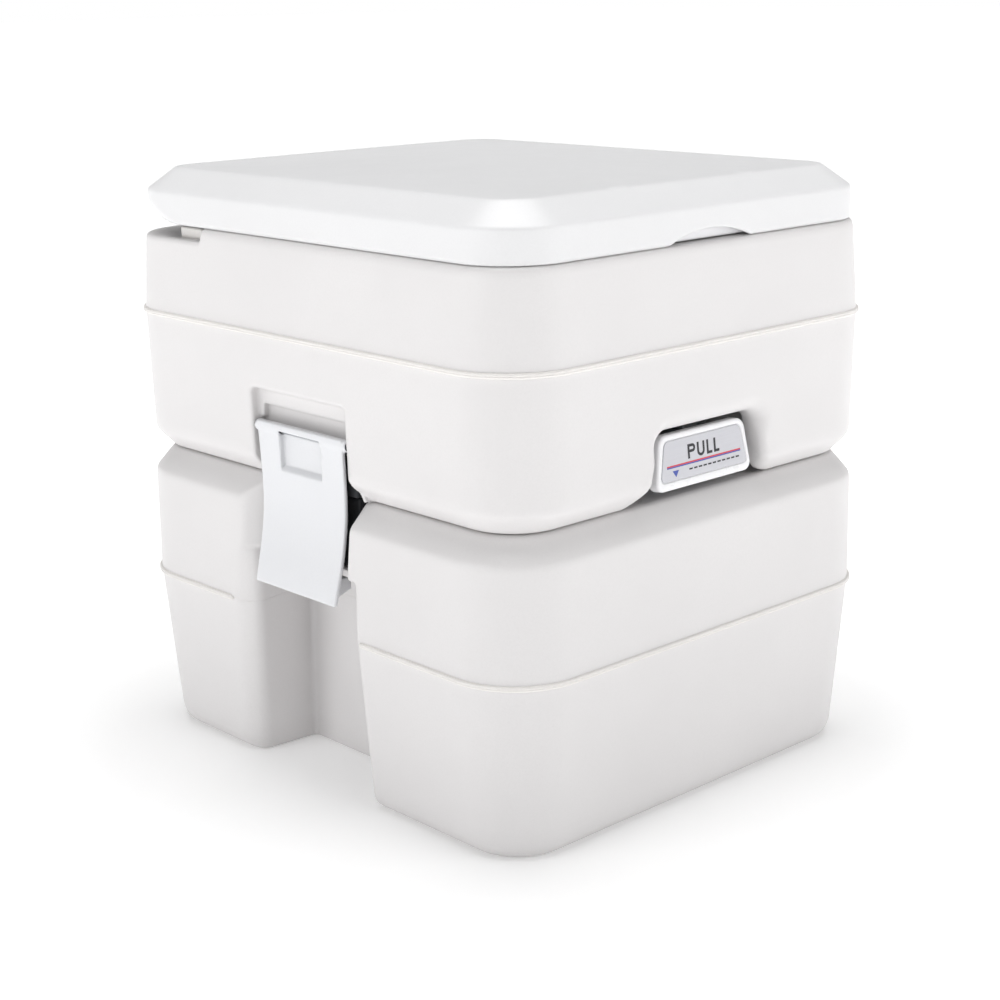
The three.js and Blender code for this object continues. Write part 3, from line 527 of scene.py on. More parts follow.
def lower_top():
    field = Field((-HALF_X, -HALF_Y, LOWER_SEAM), (HALF_X, HALF_Y, LOWER_TOP), (1.25, 1.25, 1.25))
    field.values = tank_block(field, [
        (-190, 90, 0), (-2, 90, 0), (-2, 121.8, 0), (-2.5, 196.4, 5), (-5.5, 200, 4), (-17, LOWER_TOP, 3),
        (-190, LOWER_TOP, 0),
    ])
    carve_recesses(field)

    def shelf(v, x, y, z):
        space = meet(meet(np.abs(x) - 112, 148 - y, 6.0), SHELF_Z - z, 5.0)
        return meet(v, -space, 4.0)

    field.change(shelf, [-125, 130, 130], [125, None, None])
    hollow(field)
    field.change(lambda v, x, y, z: np.maximum(v, LOWER_SEAM - SEAM_LAP - z))
    for (cx, cy), r, low, high in (
        ((0, OUTLET_Y), 52, 200, 230), (SPOUT_AT, 15, 140, 160), (VENT_AT, 5.3, 140, 160),
    ):
        field.change(
            lambda v, x, y, z: meet(v, r - np.hypot(x - cx, y - cy), 0.6),
            [cx - r - 6, cy - r - 6, low], [cx + r + 6, cy + r + 6, high],
        )
    return field.mesh("lower_tank_top")


def valve_mouth(x, y, z):
    """Opening for the pull handle, narrow at the top and flaring to the bottom."""
    half = np.interp(z, [205, 209, 213, 217, 221, 225, 229, 265], [81, 73, 66.5, 61.8, 58.4, 56.1, 54.5, 47.5])
    slant = np.interp(z, [205, 213, 221, 229, 240], [0.42, 0.6, 0.82, 0.95, 0.97])
    side = (np.abs(x) - half) * slant
    return meet(meet(side, z - 261, 8.0), y + 145)


def latch_pocket(x, y, z):
    ax, ay = np.abs(x), np.abs(y)
    pocket = meet(meet(171.5 - ax, ay - 50, 3.0), z - 276, 4.0)
    groove = np.maximum(np.maximum(168 - ax, ay - 49), np.maximum(z - 255, 243 - z))
    slot = np.maximum(np.maximum(167 - ax, ay - 46), np.maximum(z - 264, 252 - z))
    front = -50 - 7 * (1 - ramp(z, UPPER_BOTTOM, UPPER_BOTTOM + 12))
    gap = np.maximum(np.maximum(161 - ax, np.maximum(front - y, y + 34)), np.maximum(z - 244, UPPER_BOTTOM - 4 - z))
    return pocket, np.minimum(np.minimum(groove, slot), gap)


def upper_bottom():
    field = Field((-HALF_X, -HALF_Y, UPPER_BOTTOM), (HALF_X, HALF_Y, UPPER_SEAM), (1.25, 1.25, 1.25))
    field.values = tank_block(field, [
        (-190, UPPER_BOTTOM, 0), (-17, UPPER_BOTTOM, 2.5), (-6.5, 224.5, 2.5), (-4, 228.5, 3.5),
        (-2, 316, 0), (-2, 340, 0), (-190, 340, 0),
    ])
    change_sides(field, lambda v, x, y, z: meet(v, -latch_pocket(x, y, z)[0], 2.2), 155, -70, 70, 292)
    field.change(
        lambda v, x, y, z: meet(v, -valve_mouth(x, y, z), 5.0 + 6.5 * ramp(z, 240, 258)),
        [-100, None, None], [100, -140, 285],
    )
    field.change(
        lambda v, x, y, z: np.maximum(v, -rounded_box(x, y, z, (-98, -186, 180), (98, 92, 260.5), 4.0)),
        [-115, -200, None], [115, 110, 275],
    )
    hollow(field)
    change_sides(field, pocket_details, 155, -60, 60, 275)
    field.change(lambda v, x, y, z: meet(v, z - (UPPER_SEAM - 0.05), 0.3))
    field.change(
        lambda v, x, y, z: meet(v, 60 - np.hypot(x, y + 10), 0.6), [-70, -80, 250], [70, 60, 275]
    )
    return field.mesh("upper_tank_bottom")


def pocket_details(v, x, y, z):
    """The hinge groove and the slot over it, each with its own wall behind."""
    cut = latch_pocket(x, y, z)[1]
    backed = np.minimum(v, np.maximum(cut - WALL, np.abs(x) - 171.5))
    return meet(np.maximum(backed, UPPER_BOTTOM - z), -cut, 0.5)


def upper_top():
    field = Field((-HALF_X, -HALF_Y, UPPER_SEAM), (HALF_X, HALF_Y, RIM_TOP), (1.25, 1.25, 1.0))
    outer = tank_block(field, [
        (-190, 290, 0), (-2, 290, 0), (-2, 316, 0), (-5.8, 372.7, 3), (-7.4, 376.2, 2), (-11, RIM_TOP, 2),
        (-190, RIM_TOP, 0),
    ])
    field.values = outer

    def rim(v, x, y, z):
        """The rim's inside, and the low deck behind it."""
        inner = meet(np.abs(x) - 158, -186 - y, 34.0)
        inner = np.minimum(inner, 105 - y)
        return meet(v, -meet(inner, DECK - z, 2.5), 3.0)

    field.change(rim)
    hollow(field)
    field.change(lambda v, x, y, z: meet(v, UPPER_SEAM + 0.05 - z, 0.3))

    def oval_mouth(v, x, y, z):
        return meet(v, -oval_distance(x, y, 108.5, 125.5, BOWL_Y), 1.0)

    field.change(oval_mouth, [-130, -180, 355], [130, 110, 385])
    fx, fy = FILLER_AT

    def neck(v, x, y, z):
        r = np.hypot(x - fx, y - fy)
        tube = meet(r - 16.5, np.maximum(z - 380, 366 - z), 0.8)
        return meet(join(v, tube, 1.5), 13.5 - r, 0.5)

    field.change(neck, [fx - 24, fy - 24, 355], [fx + 24, fy + 24, None])
    px, py = PUMP_AT
    field.change(
        lambda v, x, y, z: meet(v, 13.3 - np.hypot(x - px, y - py), 0.5),
        [px - 20, py - 20, 355], [px + 20, py + 20, 380],
    )
    return field.mesh("upper_tank_top")


def oval_distance(x, y, half_x, half_y, centre_y):
    """Roughly the distance to an ellipse."""
    v = y - centre_y
    k0 = np.sqrt((x / half_x) ** 2 + (v / half_y) ** 2)
    k1 = np.sqrt((x / half_x**2) ** 2 + (v / half_y**2) ** 2)
    return k0 * (k0 - 1) / np.maximum(k1, 1e-6)


piece(lower_bottom(), "waste_tank", tank_mat, "lower_tank_bottom_shell")
piece(lower_top(), "waste_tank", tank_mat, "lower_tank_top_shell")
piece(upper_bottom(), "upper_unit", tank_mat, "upper_tank_bottom_shell")
piece(upper_top(), "upper_unit", tank_mat, "upper_tank_top_shell")


# ---------------------------------------------------------------- weld beads
BEAD_SECTION = [  # outwards from the wall, and height from the seam
    (-2.6, -1.9), (-1.2, -1.8), (-0.4, -1.4), (-0.05, -0.8), (-0.05, -0.25), (-0.35, 0.0), (-0.05, 0.25),
    (-0.05, 0.8), (-0.4, 1.4), (-1.2, 1.8), (-2.6, 1.9),
]


def outline_points(steps=24):
    """The overall outline of the tanks, anticlockwise from the middle of the right side, with outward directions."""
    out = []
    for side_x, side_y, start in ((1, 1, 0), (-1, 1, 90), (-1, -1, 180), (1, -1, 270)):
        for k in range(steps + 1):
            a = math.radians(start + 90 * k / steps)
            n = (math.cos(a), math.sin(a))
            out.append((side_x * (HALF_X - CORNER), side_y * (HALF_Y - CORNER), n))
    return out


def bead_ring(x, y, n, z, scale=1.0):
    return [
        (x + n[0] * (CORNER + u - (1 - scale) * 2.4), y + n[1] * (CORNER + u - (1 - scale) * 2.4), z + v * scale)
        for u, v in BEAD_SECTION
    ]


def full_bead(name, z):
    rings = [bead_ring(x, y, n, z) for x, y, n in outline_points()]
    return surface_of_rings(name, rings, closed=True, sharp=60)


def part_bead(name, z, front):
    """The bead between the two hand recesses, round the front or the rear; it runs out into the wall at its ends."""
    sign, end_y = (-1, -58.5) if front else (1, 80.0)
    chosen = [p for p in outline_points() if p[1] * sign > 0]
    chosen.sort(key=lambda p: math.atan2(p[2][1], p[2][0]))
    tip = ((0, 0.05), (1.2, 0.6), (3.0, 0.92), (6.0, 1.0))  # distance from the end, and share of the full size

    def run_out(side, steps):
        x = side * (HALF_X - CORNER)
        return [bead_ring(x, end_y + sign * drop, (side, 0.0), z, scale) for drop, scale in steps]

    rings = run_out(sign, tip) + [bead_ring(x, y, n, z) for x, y, n in chosen] + run_out(-sign, tip[::-1])
    return surface_of_rings(name, rings, caps=True, sharp=60)


piece(full_bead("upper_weld_bead", UPPER_SEAM), "upper_unit", bead_mat)
piece(part_bead("lower_weld_bead_front", LOWER_SEAM, True), "waste_tank", bead_mat)
piece(part_bead("lower_weld_bead_rear", LOWER_SEAM, False), "waste_tank", bead_mat)


# ---------------------------------------------------------------- lid
def from_hinge(y, z):
    return np.hypot(y - HINGE[0], z - HINGE[1])


def lid():
    field = Field((-174.5, -199.5, LID_BOTTOM), (174.5, 199.5, LID_TOP), (1.1, 1.1, 0.9))
    outer = tank_block(field, [
        (-190, 330, 0), (-LID_INSET, 330, 0), (-LID_INSET, 399.3, 1.6), (-29, 413.9, 0), (-60, 436, 0), (-190, 436, 0),
    ])
    _, x, y, z = field.grid()
    crown = LID_TOP - 6 * (1 - np.clip(1 - (x / 153.5) ** 2, -1, 1) * np.clip(1 - (y / 178.5) ** 2, -1, 1))
    outer = meet(outer, z - crown, 1.2)
    inset = rounded_rectangle(x, y, HALF_X, HALF_Y, CORNER) + LID_INSET
    radius = 0.5 + 17 * ramp(y, 132, 176)
    u, v = inset + radius, z - (LID_BOTTOM + radius)
    outer = np.where((u > 0) & (v < 0), np.maximum(outer, np.hypot(u, v) - radius), outer)
    inside = outer + WALL
    field.values = np.maximum(np.maximum(outer, -inside), LID_BOTTOM - z).astype(F32)
    outline = outline_distance(
        y[0], z[0], [(174, 392), (189, 395.7), (192, 415), (166, 415)]
    )[None]
    lug = join(outline, from_hinge(y, z) - KNUCKLE, 2.0)
    for side in (-1, 1):
        a, b = sorted((side * 116.6, side * 128))
        body = np.maximum(meet(lug, np.maximum(a - x, x - b), 0.6), outer)
        field.values = np.minimum(field.values, body).astype(F32)
    for px in (-60, 60):
        post = np.maximum(np.maximum(np.hypot(x - px, y + 172) - 7, 400 - z), outer)
        field.values = join(field.values, post, 1.5).astype(F32)

    def notch(v, x, y, z):
        top = LID_BOTTOM + 8 * (1 - ((x - 2) / 39) ** 2)
        return meet(v, -meet((z - top) * 0.93, y + 188), 0.5)

    field.change(notch, [-70, None, None], [70, -180, 395])
    for side in (-1, 1):
        a, b = sorted((side * 103.4, side * 116.6))
        c, d = sorted((side * 91.3, side * 116.6))

        def slots(v, x, y, z):
            v = meet(v, -rounded_box(x, y, z, (a, 176, 350), (b, 230, 440), 0.5), 0.5)
            return meet(v, -rounded_box(x, y, z, (c, 176, 350), (d, 230, 386.5), 0.5), 0.5)

        field.change(slots, [min(a, c) - 5, 165, None], [max(b, d) + 5, None, None])
    field.values = np.maximum(field.values, HINGE_BORE - from_hinge(y, z)).astype(F32)
    return field.mesh("lid_shell", 0.01)


piece(lid(), "lid", lid_mat, "lid")


# ---------------------------------------------------------------- seat
def seat():
    field = Field((-150, -194, 378), (150, 190, 404), (1.1, 1.1, 0.9))
    _, x, y, z = field.grid()
    rim = oval_distance(x, y, 150, 175, -17)
    hole = oval_distance(x, y, 98, 116, BOWL_Y)
    top = z - (395 - 0.0009 * np.clip(rim + 26, -30, 30) ** 2)
    ring = meet(rim, top, 5.0)
    ring = meet(ring, 381 - z, 1.5)
    ring = meet(ring, -hole, 5.0)
    channel = meet(rim + 5, -hole + 5, 4.0)
    channel = np.maximum(channel, z - 386)
    ring = meet(ring, -channel, 0.8)
    lip = rounded_box(x, y, z, (-46, -193.8, 378.2), (46, -172, 389), 1.5)
    ring = join(ring, lip, 1.0)
    arm_outline = outline_distance(
        y[0], z[0], [(140, 386), (178, 386), (181, 388), (181, 397.5), (172, 396.5), (161, 391), (140, 391)]
    )[None]
    arm = join(arm_outline, from_hinge(y, z) - KNUCKLE, 2.0)
    shape = ring
    for side in (-1, 1):
        a, b = sorted((side * 92, side * 103.4))
        shape = join(shape, meet(arm, np.maximum(a - x, x - b), 0.8), 1.5)
    bridge = rounded_box(x, y, z, (-103.4, 120, 385.4), (103.4, 162, 392.2), 1.5)
    bridge = np.maximum(bridge, -hole)
    shape = join(shape, bridge, 4.0)
    shape = np.maximum(shape, HINGE_BORE - from_hinge(y, z))
    field.values = shape.astype(F32)
    return field.mesh("seat_ring", 0.01)


piece(seat(), "seat", seat_mat, "seat")


# ---------------------------------------------------------------- latches
LATCH_HEIGHTS = (143, 155, 170, 184, 198, 215, 235, 254)
LATCH_FACE = (187.5, 184.9, 181, 178.6, 177, 176.9, 177.6, 178.6)  # X of the outer face at those heights
WINDOW_FLOOR = 173.6


def latch(side, name):
    field = Field((163, -52, 142), (189, 52, 256), (0.7, 0.8, 0.8))
    _, x, y, z = field.grid()
    fine = np.linspace(143, 254, 112)
    curve = smoothed(np.interp(fine, LATCH_HEIGHTS, LATCH_FACE), 40)
    outer_x = np.interp(z, fine, curve)
    slope = np.gradient(curve, fine)
    tilt = 1 / np.sqrt(1 + np.interp(z, fine, slope) ** 2)
    half = 43 + 2.5 * (z - 143) / 111
    sheet = np.maximum((x - outer_x) * tilt, (outer_x - 3.2 - x) * tilt)
    plate = meet(meet(sheet, np.abs(y) - half, 0.9), np.maximum(z - 254, 143 - z), 0.9)
    px, pz = LATCH_PIVOT
    knuckle = meet(np.hypot(x - px, z - pz) - 4, np.abs(y) - 48.5, 0.8)
    hook = outline_distance(
        x[:, 0], z[0], [(166.6, 150), (166.6, 157), (170, 158.6), (181.5, 158.6), (183.5, 146), (178, 146)]
    )[:, None, :]
    hook = meet(hook, np.abs(y) - 36, 0.8)
    window = rounded_box(x, y, z, (WINDOW_FLOOR, -22, 222), (200, 22, 249.6), 0.5)
    window = np.maximum(window, (outer_x - 1.1 * (z - 222.5) - x) * 0.7)
    back = rounded_box(x, y, z, (172.3, -24, 220), (176, 24, 251), 0.6)
    shape = join(join(plate, back, 0.5), knuckle, 1.0)
    shape = join(shape, hook, 1.2)
    shape = meet(shape, -window, 0.4)
    shape = np.maximum(shape, 2.9 - np.hypot(x - px, z - pz))
    field.values = np.broadcast_to(shape, field.values.shape).astype(F32)
    mesh = field.mesh(name, 0.01)
    if side < 0:
        mirror(mesh)
    return mesh


def mirror(mesh):
    """Mirrors a mesh in X, with its normals."""
    count = len(mesh.vertices)
    co = np.empty(count * 3)
    mesh.vertices.foreach_get("co", co)
    co = co.reshape(-1, 3)
    normals = np.empty(count * 3)
    mesh.vertex_normals.foreach_get("vector", normals)
    loops = np.empty(len(mesh.loops) * 3)
    mesh.corner_normals.foreach_get("vector", loops)
    vertex = np.empty(len(mesh.loops), int)
    mesh.loops.foreach_get("vertex_index", vertex)
    normals = normals.reshape(-1, 3)
    normals[vertex] = loops.reshape(-1, 3)
    co[:, 0] *= -1
    normals[:, 0] *= -1
    mesh.vertices.foreach_set("co", co.ravel())
    mesh.flip_normals()
    mesh.update()
    mesh.normals_split_custom_set_from_vertices(normals.tolist())


for side, word in ((-1, "left"), (1, "right")):
    piece(latch(side, f"side_latch_{word}"), f"latch_{word}", latch_mat, f"latch_{word}")


# ---------------------------------------------------------------- pull handle and its label
HANDLE_CENTRE = Vector((0, -197, 239))
HANDLE_TURN = Matrix.Rotation(-math.atan2(4, 36), 4, "X")


def in_handle_place(mesh):
    mesh.transform(Matrix.Translation(HANDLE_CENTRE * MM) @ HANDLE_TURN)
    return mesh


def tapered_distance(x, z, bottom_half, top_half, z0, z1, r):
    """Distance to a symmetrical plate that is wider at the bottom, with round corners."""
    slope = (top_half - bottom_half) / (z1 - z0)
    side = (np.abs(x) - (bottom_half + slope * (z - z0))) / math.sqrt(1 + slope * slope)
    return meet(side, np.maximum(z - z1, z0 - z), r)


def pull_handle():
    field = Field((-50, -2, -19), (50, 10, 19), (0.6, 0.45, 0.6))
    _, x, y, z = field.grid()
    plate = meet(tapered_distance(x, z, 46.8, 41.3, -18, 18, 7.0), np.maximum(-y, y - 9), 1.8)
    bed = meet(tapered_distance(x, z, 42.6, 37.2, -12.6, 14.4, 4.0), y - 1, 0.3)
    grip = meet(tapered_distance(x, z, 36, 30, 1.5, 14, 3.0), 3.5 - y, 1.0)
    shape = meet(meet(plate, -bed, 0.7), -grip, 0.6)
    field.values = np.broadcast_to(shape, field.values.shape).astype(F32)
    return in_handle_place(field.mesh("handle_frame", 0.01))


def flat_outline(name, outlines, y0, y1):
    """A flat plate from closed outlines in X and Z; inner outlines are holes."""
    curve = bpy.data.curves.new(name, "CURVE")
    curve.dimensions = "2D"
    curve.fill_mode = "BOTH"
    curve.extrude = (y1 - y0) / 2 * MM
    for points in outlines:
        spline = curve.splines.new("POLY")
        spline.points.add(len(points) - 1)
        for point, (u, v) in zip(spline.points, points):
            point.co = (u * MM, v * MM, 0, 1)
        spline.use_cyclic_u = True
    holder = bpy.data.objects.new(name, curve)
    mesh = bpy.data.meshes.new_from_object(holder)
    bpy.data.objects.remove(holder)
    mesh.name = name
    mesh.transform(Matrix.Translation((0, (y0 + y1) / 2 * MM, 0)) @ Matrix.Rotation(math.pi / 2, 4, "X"))
    return in_handle_place(mesh)


def arc(cx, cy, r, a0, a1, steps=10):
    return [
        (cx + r * math.cos(math.radians(a0 + (a1 - a0) * k / steps)),
         cy + r * math.sin(math.radians(a0 + (a1 - a0) * k / steps)))
        for k in range(steps + 1)
    ]


def word_outlines(x, z, height, stroke, gap):
    """The word PULL in plain block letters, from its lower left corner."""
    h, s = height, stroke
    letters = []
    wide = h * 0.78
    bowl = h * 0.29
    outer = [(x, z), (x + s, z), (x + s, z + h - 2 * bowl)]
    outer += arc(x + wide - bowl, z + h - bowl, bowl, -90, 90)
    outer += [(x, z + h)]
    inner = [(x + s, z + h - 2 * bowl + s)]
    inner += arc(x + wide - bowl, z + h - bowl, bowl - s, -90, 90) + [(x + s, z + h - s)]
    letters += [outer, inner]
    x += wide + gap
    r = wide / 2
    u = [(x, z + h), (x, z + r)] + arc(x + r, z + r, r, 180, 360) + [(x + wide, z + h), (x + wide - s, z + h)]
    u += [(x + wide - s, z + r)] + arc(x + r, z + r, r - s, 0, -180) + [(x + s, z + h)]
    letters.append(u)
    x += wide + gap * 1.15
    for _ in range(2):
        foot = x + wide * 0.72
        letters.append([(x, z), (foot, z), (foot, z + s), (x + s, z + s), (x + s, z + h), (x, z + h)])
        x += wide * 0.72 + gap
    return letters


def label_plate():
    field = Field((-45, -1, -14), (45, 1.5, 16), (0.6, 0.3, 0.6))
    _, x, y, z = field.grid()
    shape = meet(tapered_distance(x, z, 42.2, 36.8, -12.2, 14, 4.0), np.maximum(0.1 - y, y - 0.95), 0.25)
    field.values = np.broadcast_to(shape, field.values.shape).astype(F32)
    return in_handle_place(field.mesh("label_plate", 0.01))


piece(pull_handle(), "valve_slide", handle_mat, "pull_handle")
piece(label_plate(), "valve_slide", label_mat, "handle_label")
word = word_outlines(-15.4, -0.4, 9.4, 1.8, 1.75)
red_line = [[(-36, -3.0), (36, -3.0), (36, -2.1), (-36, -2.1)]]
blue_line = [[(-36, -3.9), (36, -3.9), (36, -3.0), (-36, -3.0)]]
arrow = [[(-31, -5.8), (-25, -5.8), (-28, -10)]]
dashes = [[(x, -7.6), (x + 3.2, -7.6), (x + 3.2, -6.6), (x, -6.6)] for x in np.arange(-15, 33, 4.6)]
for name, outlines, thickness, material in (
    ("word", word, 0.14, ink_mat), ("line_red", red_line, 0.13, red_mat), ("line_blue", blue_line, 0.12, blue_mat),
    ("arrow", arrow, 0.13, blue_mat), ("dashes", dashes, 0.12, ink_mat),
):
    piece(flat_outline(f"label_{name}", outlines, 0.0, thickness), "valve_slide", material)


# ---------------------------------------------------------------- bowl and its fittings
BOWL_LEVELS = np.array([  # height, half width, half depth, centre
    (250, 46, 46, -5), (258, 47, 47, -7), (268, 54, 57, -13), (290, 70, 80, -23), (320, 88, 101, -30),
    (350, 100, 116, -34), (371.3, 105, 122, -35),
])


def smooth_bowl(count=48):
    z = np.linspace(250, 371.3, count)
    rows = np.array([np.interp(z, BOWL_LEVELS[:, 0], BOWL_LEVELS[:, k]) for k in (1, 2, 3)])
    return z, smoothed(rows, 10)


def oval_points(half_x, half_y, centre_y, z, sides=112):
    angle = np.linspace(0, 2 * math.pi, sides, endpoint=False)
    return np.stack([half_x * np.cos(angle), centre_y + half_y * np.sin(angle), np.full(sides, z)], 1)


def bowl():
    z, (hx, hy, cy) = smooth_bowl()
    rings = [oval_points(hx[k], hy[k], cy[k], z[k]) for k in range(len(z) - 1)]
    top = z[-1]
    rings += [oval_points(hx[-1] + a, hy[-1] + a, BOWL_Y, top + b) for a, b in ((-0.1, -1.2), (0.3, -0.35), (1.2, 0))]
    flange = ((-0.8, 0), (-0.2, -0.25), (0, -0.9), (0, -2.7))
    rings += [oval_points(119 + a, 137 + a, BOWL_Y, top + b) for a, b in flange]
    rings += [oval_points(hx[-1] + 2.6, hy[-1] + 2.6, BOWL_Y, top - 3.0)]
    rings += [oval_points(hx[k] + 2.6, hy[k] + 2.6, cy[k], z[k]) for k in reversed(range(len(z) - 2))]
    return surface_of_rings("bowl_shell", rings, closed=True, sharp=50)


piece(bowl(), "upper_unit", bowl_mat, "bowl")


def ring_profile(inner, outer, low, high, cut=0.6):
    return [(inner, low, cut), (outer, low, cut), (outer, high, cut), (inner, high, cut)]


def seal(name, node, inner, outer, low, high, at, body, axis=(0, 0, 1), steps=72):
    cut = min(outer - inner, high - low) * 0.35
    mesh = turned(name, ring_profile(inner, outer, low, high, cut), (at[0], at[1], 0), axis, steps)
    piece(mesh, body, rubber_mat, node)


seal("waste_gasket", "valve_gasket", 56, 68, 213.5, 215.0, (0, OUTLET_Y), "waste_tank")
seal("blade_ring_lower", "blade_seal_lower", 48, 53, 229, 231.8, (0, OUTLET_Y), "waste_tank")
seal("blade_ring_upper", "blade_seal_upper", 48, 53, 235.4, 238, (0, OUTLET_Y), "waste_tank")
seal("lip_ring", "outlet_lip_seal", 47, 54, 243.4, 249.6, (0, OUTLET_Y), "waste_tank")
seal("bowl_ring", "bowl_seal", 56, 67, 256.2, 260.2, (0, -9), "upper_unit")
seal("spout_ring", "spout_o_ring", 15.4, 19.5, 150.3, 153, SPOUT_AT, "waste_tank", steps=48)
seal("vent_ring", "vent_seal", 4.7, 9, 143.4, 146.7, VENT_AT, "vent_button", steps=40)
seal("filler_ring", "filler_cap_seal", 13.5, 16.5, 380.3, 382.7, FILLER_AT, "filler_cap_slide", steps=48)
cap_seal_profile = ring_profile(11.5, 15, 48.3, 50.9, 0.7)
piece(turned("spout_cap_ring", cap_seal_profile, (0, SPOUT_AT[1], SPOUT_Z), (1, 0, 0), 48),
      "spout_cap_slide", rubber_mat, "spout_cap_seal")


def knurl(count, depth, low, high, inner):
    """Ribs round the outside of a cap between two heights."""
    def ribs(r, height, angle):
        if r < inner or not low < height < high:
            return r
        return r - depth * (0.5 - 0.5 * math.cos(count * angle)) ** 0.6
    return ribs


collar = [
    (20.6, 150.3, 0.3), (26, 150.3, 0.5), (26, 154, 0), (26, 158, 0), (26, 159.3, 1.2), (23, 162, 1.0),
    (15.7, 162, 0.6), (15.7, 157.6, 0.3), (20.6, 157.6, 0.3),
]
piece(turned("spout_ring_nut", collar, (*SPOUT_AT, 0), steps=144, ribs=knurl(24, 1.0, 150.6, 158.5, 25.9)),
      "waste_tank", cap_mat, "spout_collar")


def bend_points():
    x, y = SPOUT_AT
    points = [(x, y, z) for z in np.linspace(SHELF_Z + 4, SPOUT_Z - 18, 4)]
    for k in range(1, 15):
        a = math.pi / 2 * k / 15
        points.append((x + 18 * (1 - math.cos(a)), y, SPOUT_Z - 18 + 18 * math.sin(a)))
    points += [(px, y, SPOUT_Z) for px in np.linspace(x + 18, 48, 9)]
    return points


pipe = swept("spout_pipe", bend_points(), 15, 12, 56)
piece(pipe, "spout", tank_mat, "spout_elbow")
flange = ring_profile(13.2, 20, 153.4, 157, 0.5)
piece(turned("spout_flange", flange, (*SPOUT_AT, 0), steps=64), "spout", tank_mat)


def spout_cap():
    field = Field((34, 157, 162), (64, 199, 204), (0.6, 0.6, 0.6))
    _, x, y, z = field.grid()
    dy, dz = y - SPOUT_AT[1], z - SPOUT_Z
    r = np.hypot(dy, dz)
    angle = np.arctan2(dz, dy)
    grip = 0.45 * (0.5 - 0.5 * np.cos(28 * angle)) * ((x > 38) & (x < 52))
    cup = meet(r - 19 + grip, np.maximum(36 - x, x - 55), 1.4)
    cup = meet(cup, -np.maximum(r - 15.7, x - 51.2), 0.4)
    bar = rounded_box(x, y, z, (50, SPOUT_AT[1] - 3, SPOUT_Z - 16), (62, SPOUT_AT[1] + 3, SPOUT_Z + 16), 1.6)
    bar = np.maximum(bar, 54 - x)
    field.values = join(cup, bar, 1.5).astype(F32)
    return field.mesh("spout_cup", 0.01)


piece(spout_cap(), "spout_cap", cap_mat, "spout_cap")


def filler_cap():
    x0, y0 = FILLER_AT
    field = Field((x0 - 21, y0 - 21, 370), (x0 + 21, y0 + 21, 393), (0.6, 0.6, 0.6))
    _, x, y, z = field.grid()
    dx, dy = x - x0, y - y0
    r = np.hypot(dx, dy)
    grip = 0.5 * (0.5 - 0.5 * np.cos(30 * np.arctan2(dy, dx))) * ((z > 372) & (z < 382.5))
    cup = meet(r - 20 + grip, np.maximum(371 - z, z - 385.6), 1.6)
    cup = meet(cup, -np.maximum(r - 17.1, z - 383), 0.4)
    bar = rounded_box(x, y, z, (x0 - 15, y0 - 2.5, 380), (x0 + 15, y0 + 2.5, 392), 1.6)
    bar = np.maximum(bar, 384.8 - z)
    field.values = join(cup, bar, 1.5).astype(F32)
    return field.mesh("filler_cup", 0.01)


piece(filler_cap(), "filler_cap", cap_mat, "filler_cap")

vent = [
    (0, 138, 0), (3.2, 138.2, 0.6), (4.4, 139.4, 0.5), (4.4, 155, 0.3), (8.5, 155, 0.5), (8.5, 158, 0.8),
    (6.5, 159.5, 0.6), (3.5, 158.9, 1.0), (0, 158.7, 0),
]
piece(turned("vent_plunger", vent, (*VENT_AT, 0), steps=48), "vent_button", cap_mat, "vent_button")
coil = [
    (VENT_AT[0] + 6.4 * math.cos(a), VENT_AT[1] + 6.4 * math.sin(a), SHELF_Z + 0.8 + 3.4 * a / (4 * math.pi))
    for a in np.linspace(0, 4 * math.pi, 100)
]
piece(swept("vent_coil", coil, 0.45, 0, 12), body_of("vent_spring"), steel_mat, "vent_spring")


def screw(name, node, at):
    profile = [
        (0, 209, 0), (1.0, 209.6, 0), (1.8, 211, 0.3), (1.8, 245.3, 0), (4, 245.3, 0.2), (4, 246.6, 0.6),
        (2.8, 247.8, 0.8), (1.1, 248, 0.1), (1.0, 246.4, 0.1), (0, 246.2, 0),
    ]

    def thread(r, height, angle):
        if r < 2 and height < 243:
            return r + 0.22 * math.cos(angle - 2 * math.pi * height / 1.2)
        return r

    fine = []
    for (r0, z0, c0), (r1, z1, _) in zip(profile, profile[1:] + profile[:1]):
        fine.append((r0, z0, c0))
        if z1 - z0 > 20:
            fine += [(r0, float(z), 0) for z in np.arange(z0 + 0.4, z1 - 0.3, 0.4)]
    piece(turned(name, fine, (*at, 0), steps=24, ribs=thread), "waste_tank", steel_mat, node)


number = 0
for y in (-110, -14, 70):
    for x in (-78, 78):
        number += 1
        screw(f"frame_screw_{number}", f"valve_screw_{number}", (x, y))

NOZZLE_AT = Vector((100, -150, 350))
NOZZLE_AIM = Vector((-0.656, 0.755, 0)).normalized()
nozzle = [(3, 26, 0.2), (6, 26, 0.4), (6, 52, 0.3), (9, 52, 0.6), (9, 56, 1.0), (6, 58, 1.0), (3, 58, 0.4)]
piece(turned("flush_jet", nozzle, tuple(NOZZLE_AT), tuple(NOZZLE_AIM), 40), "upper_unit", cap_mat, "flush_nozzle")


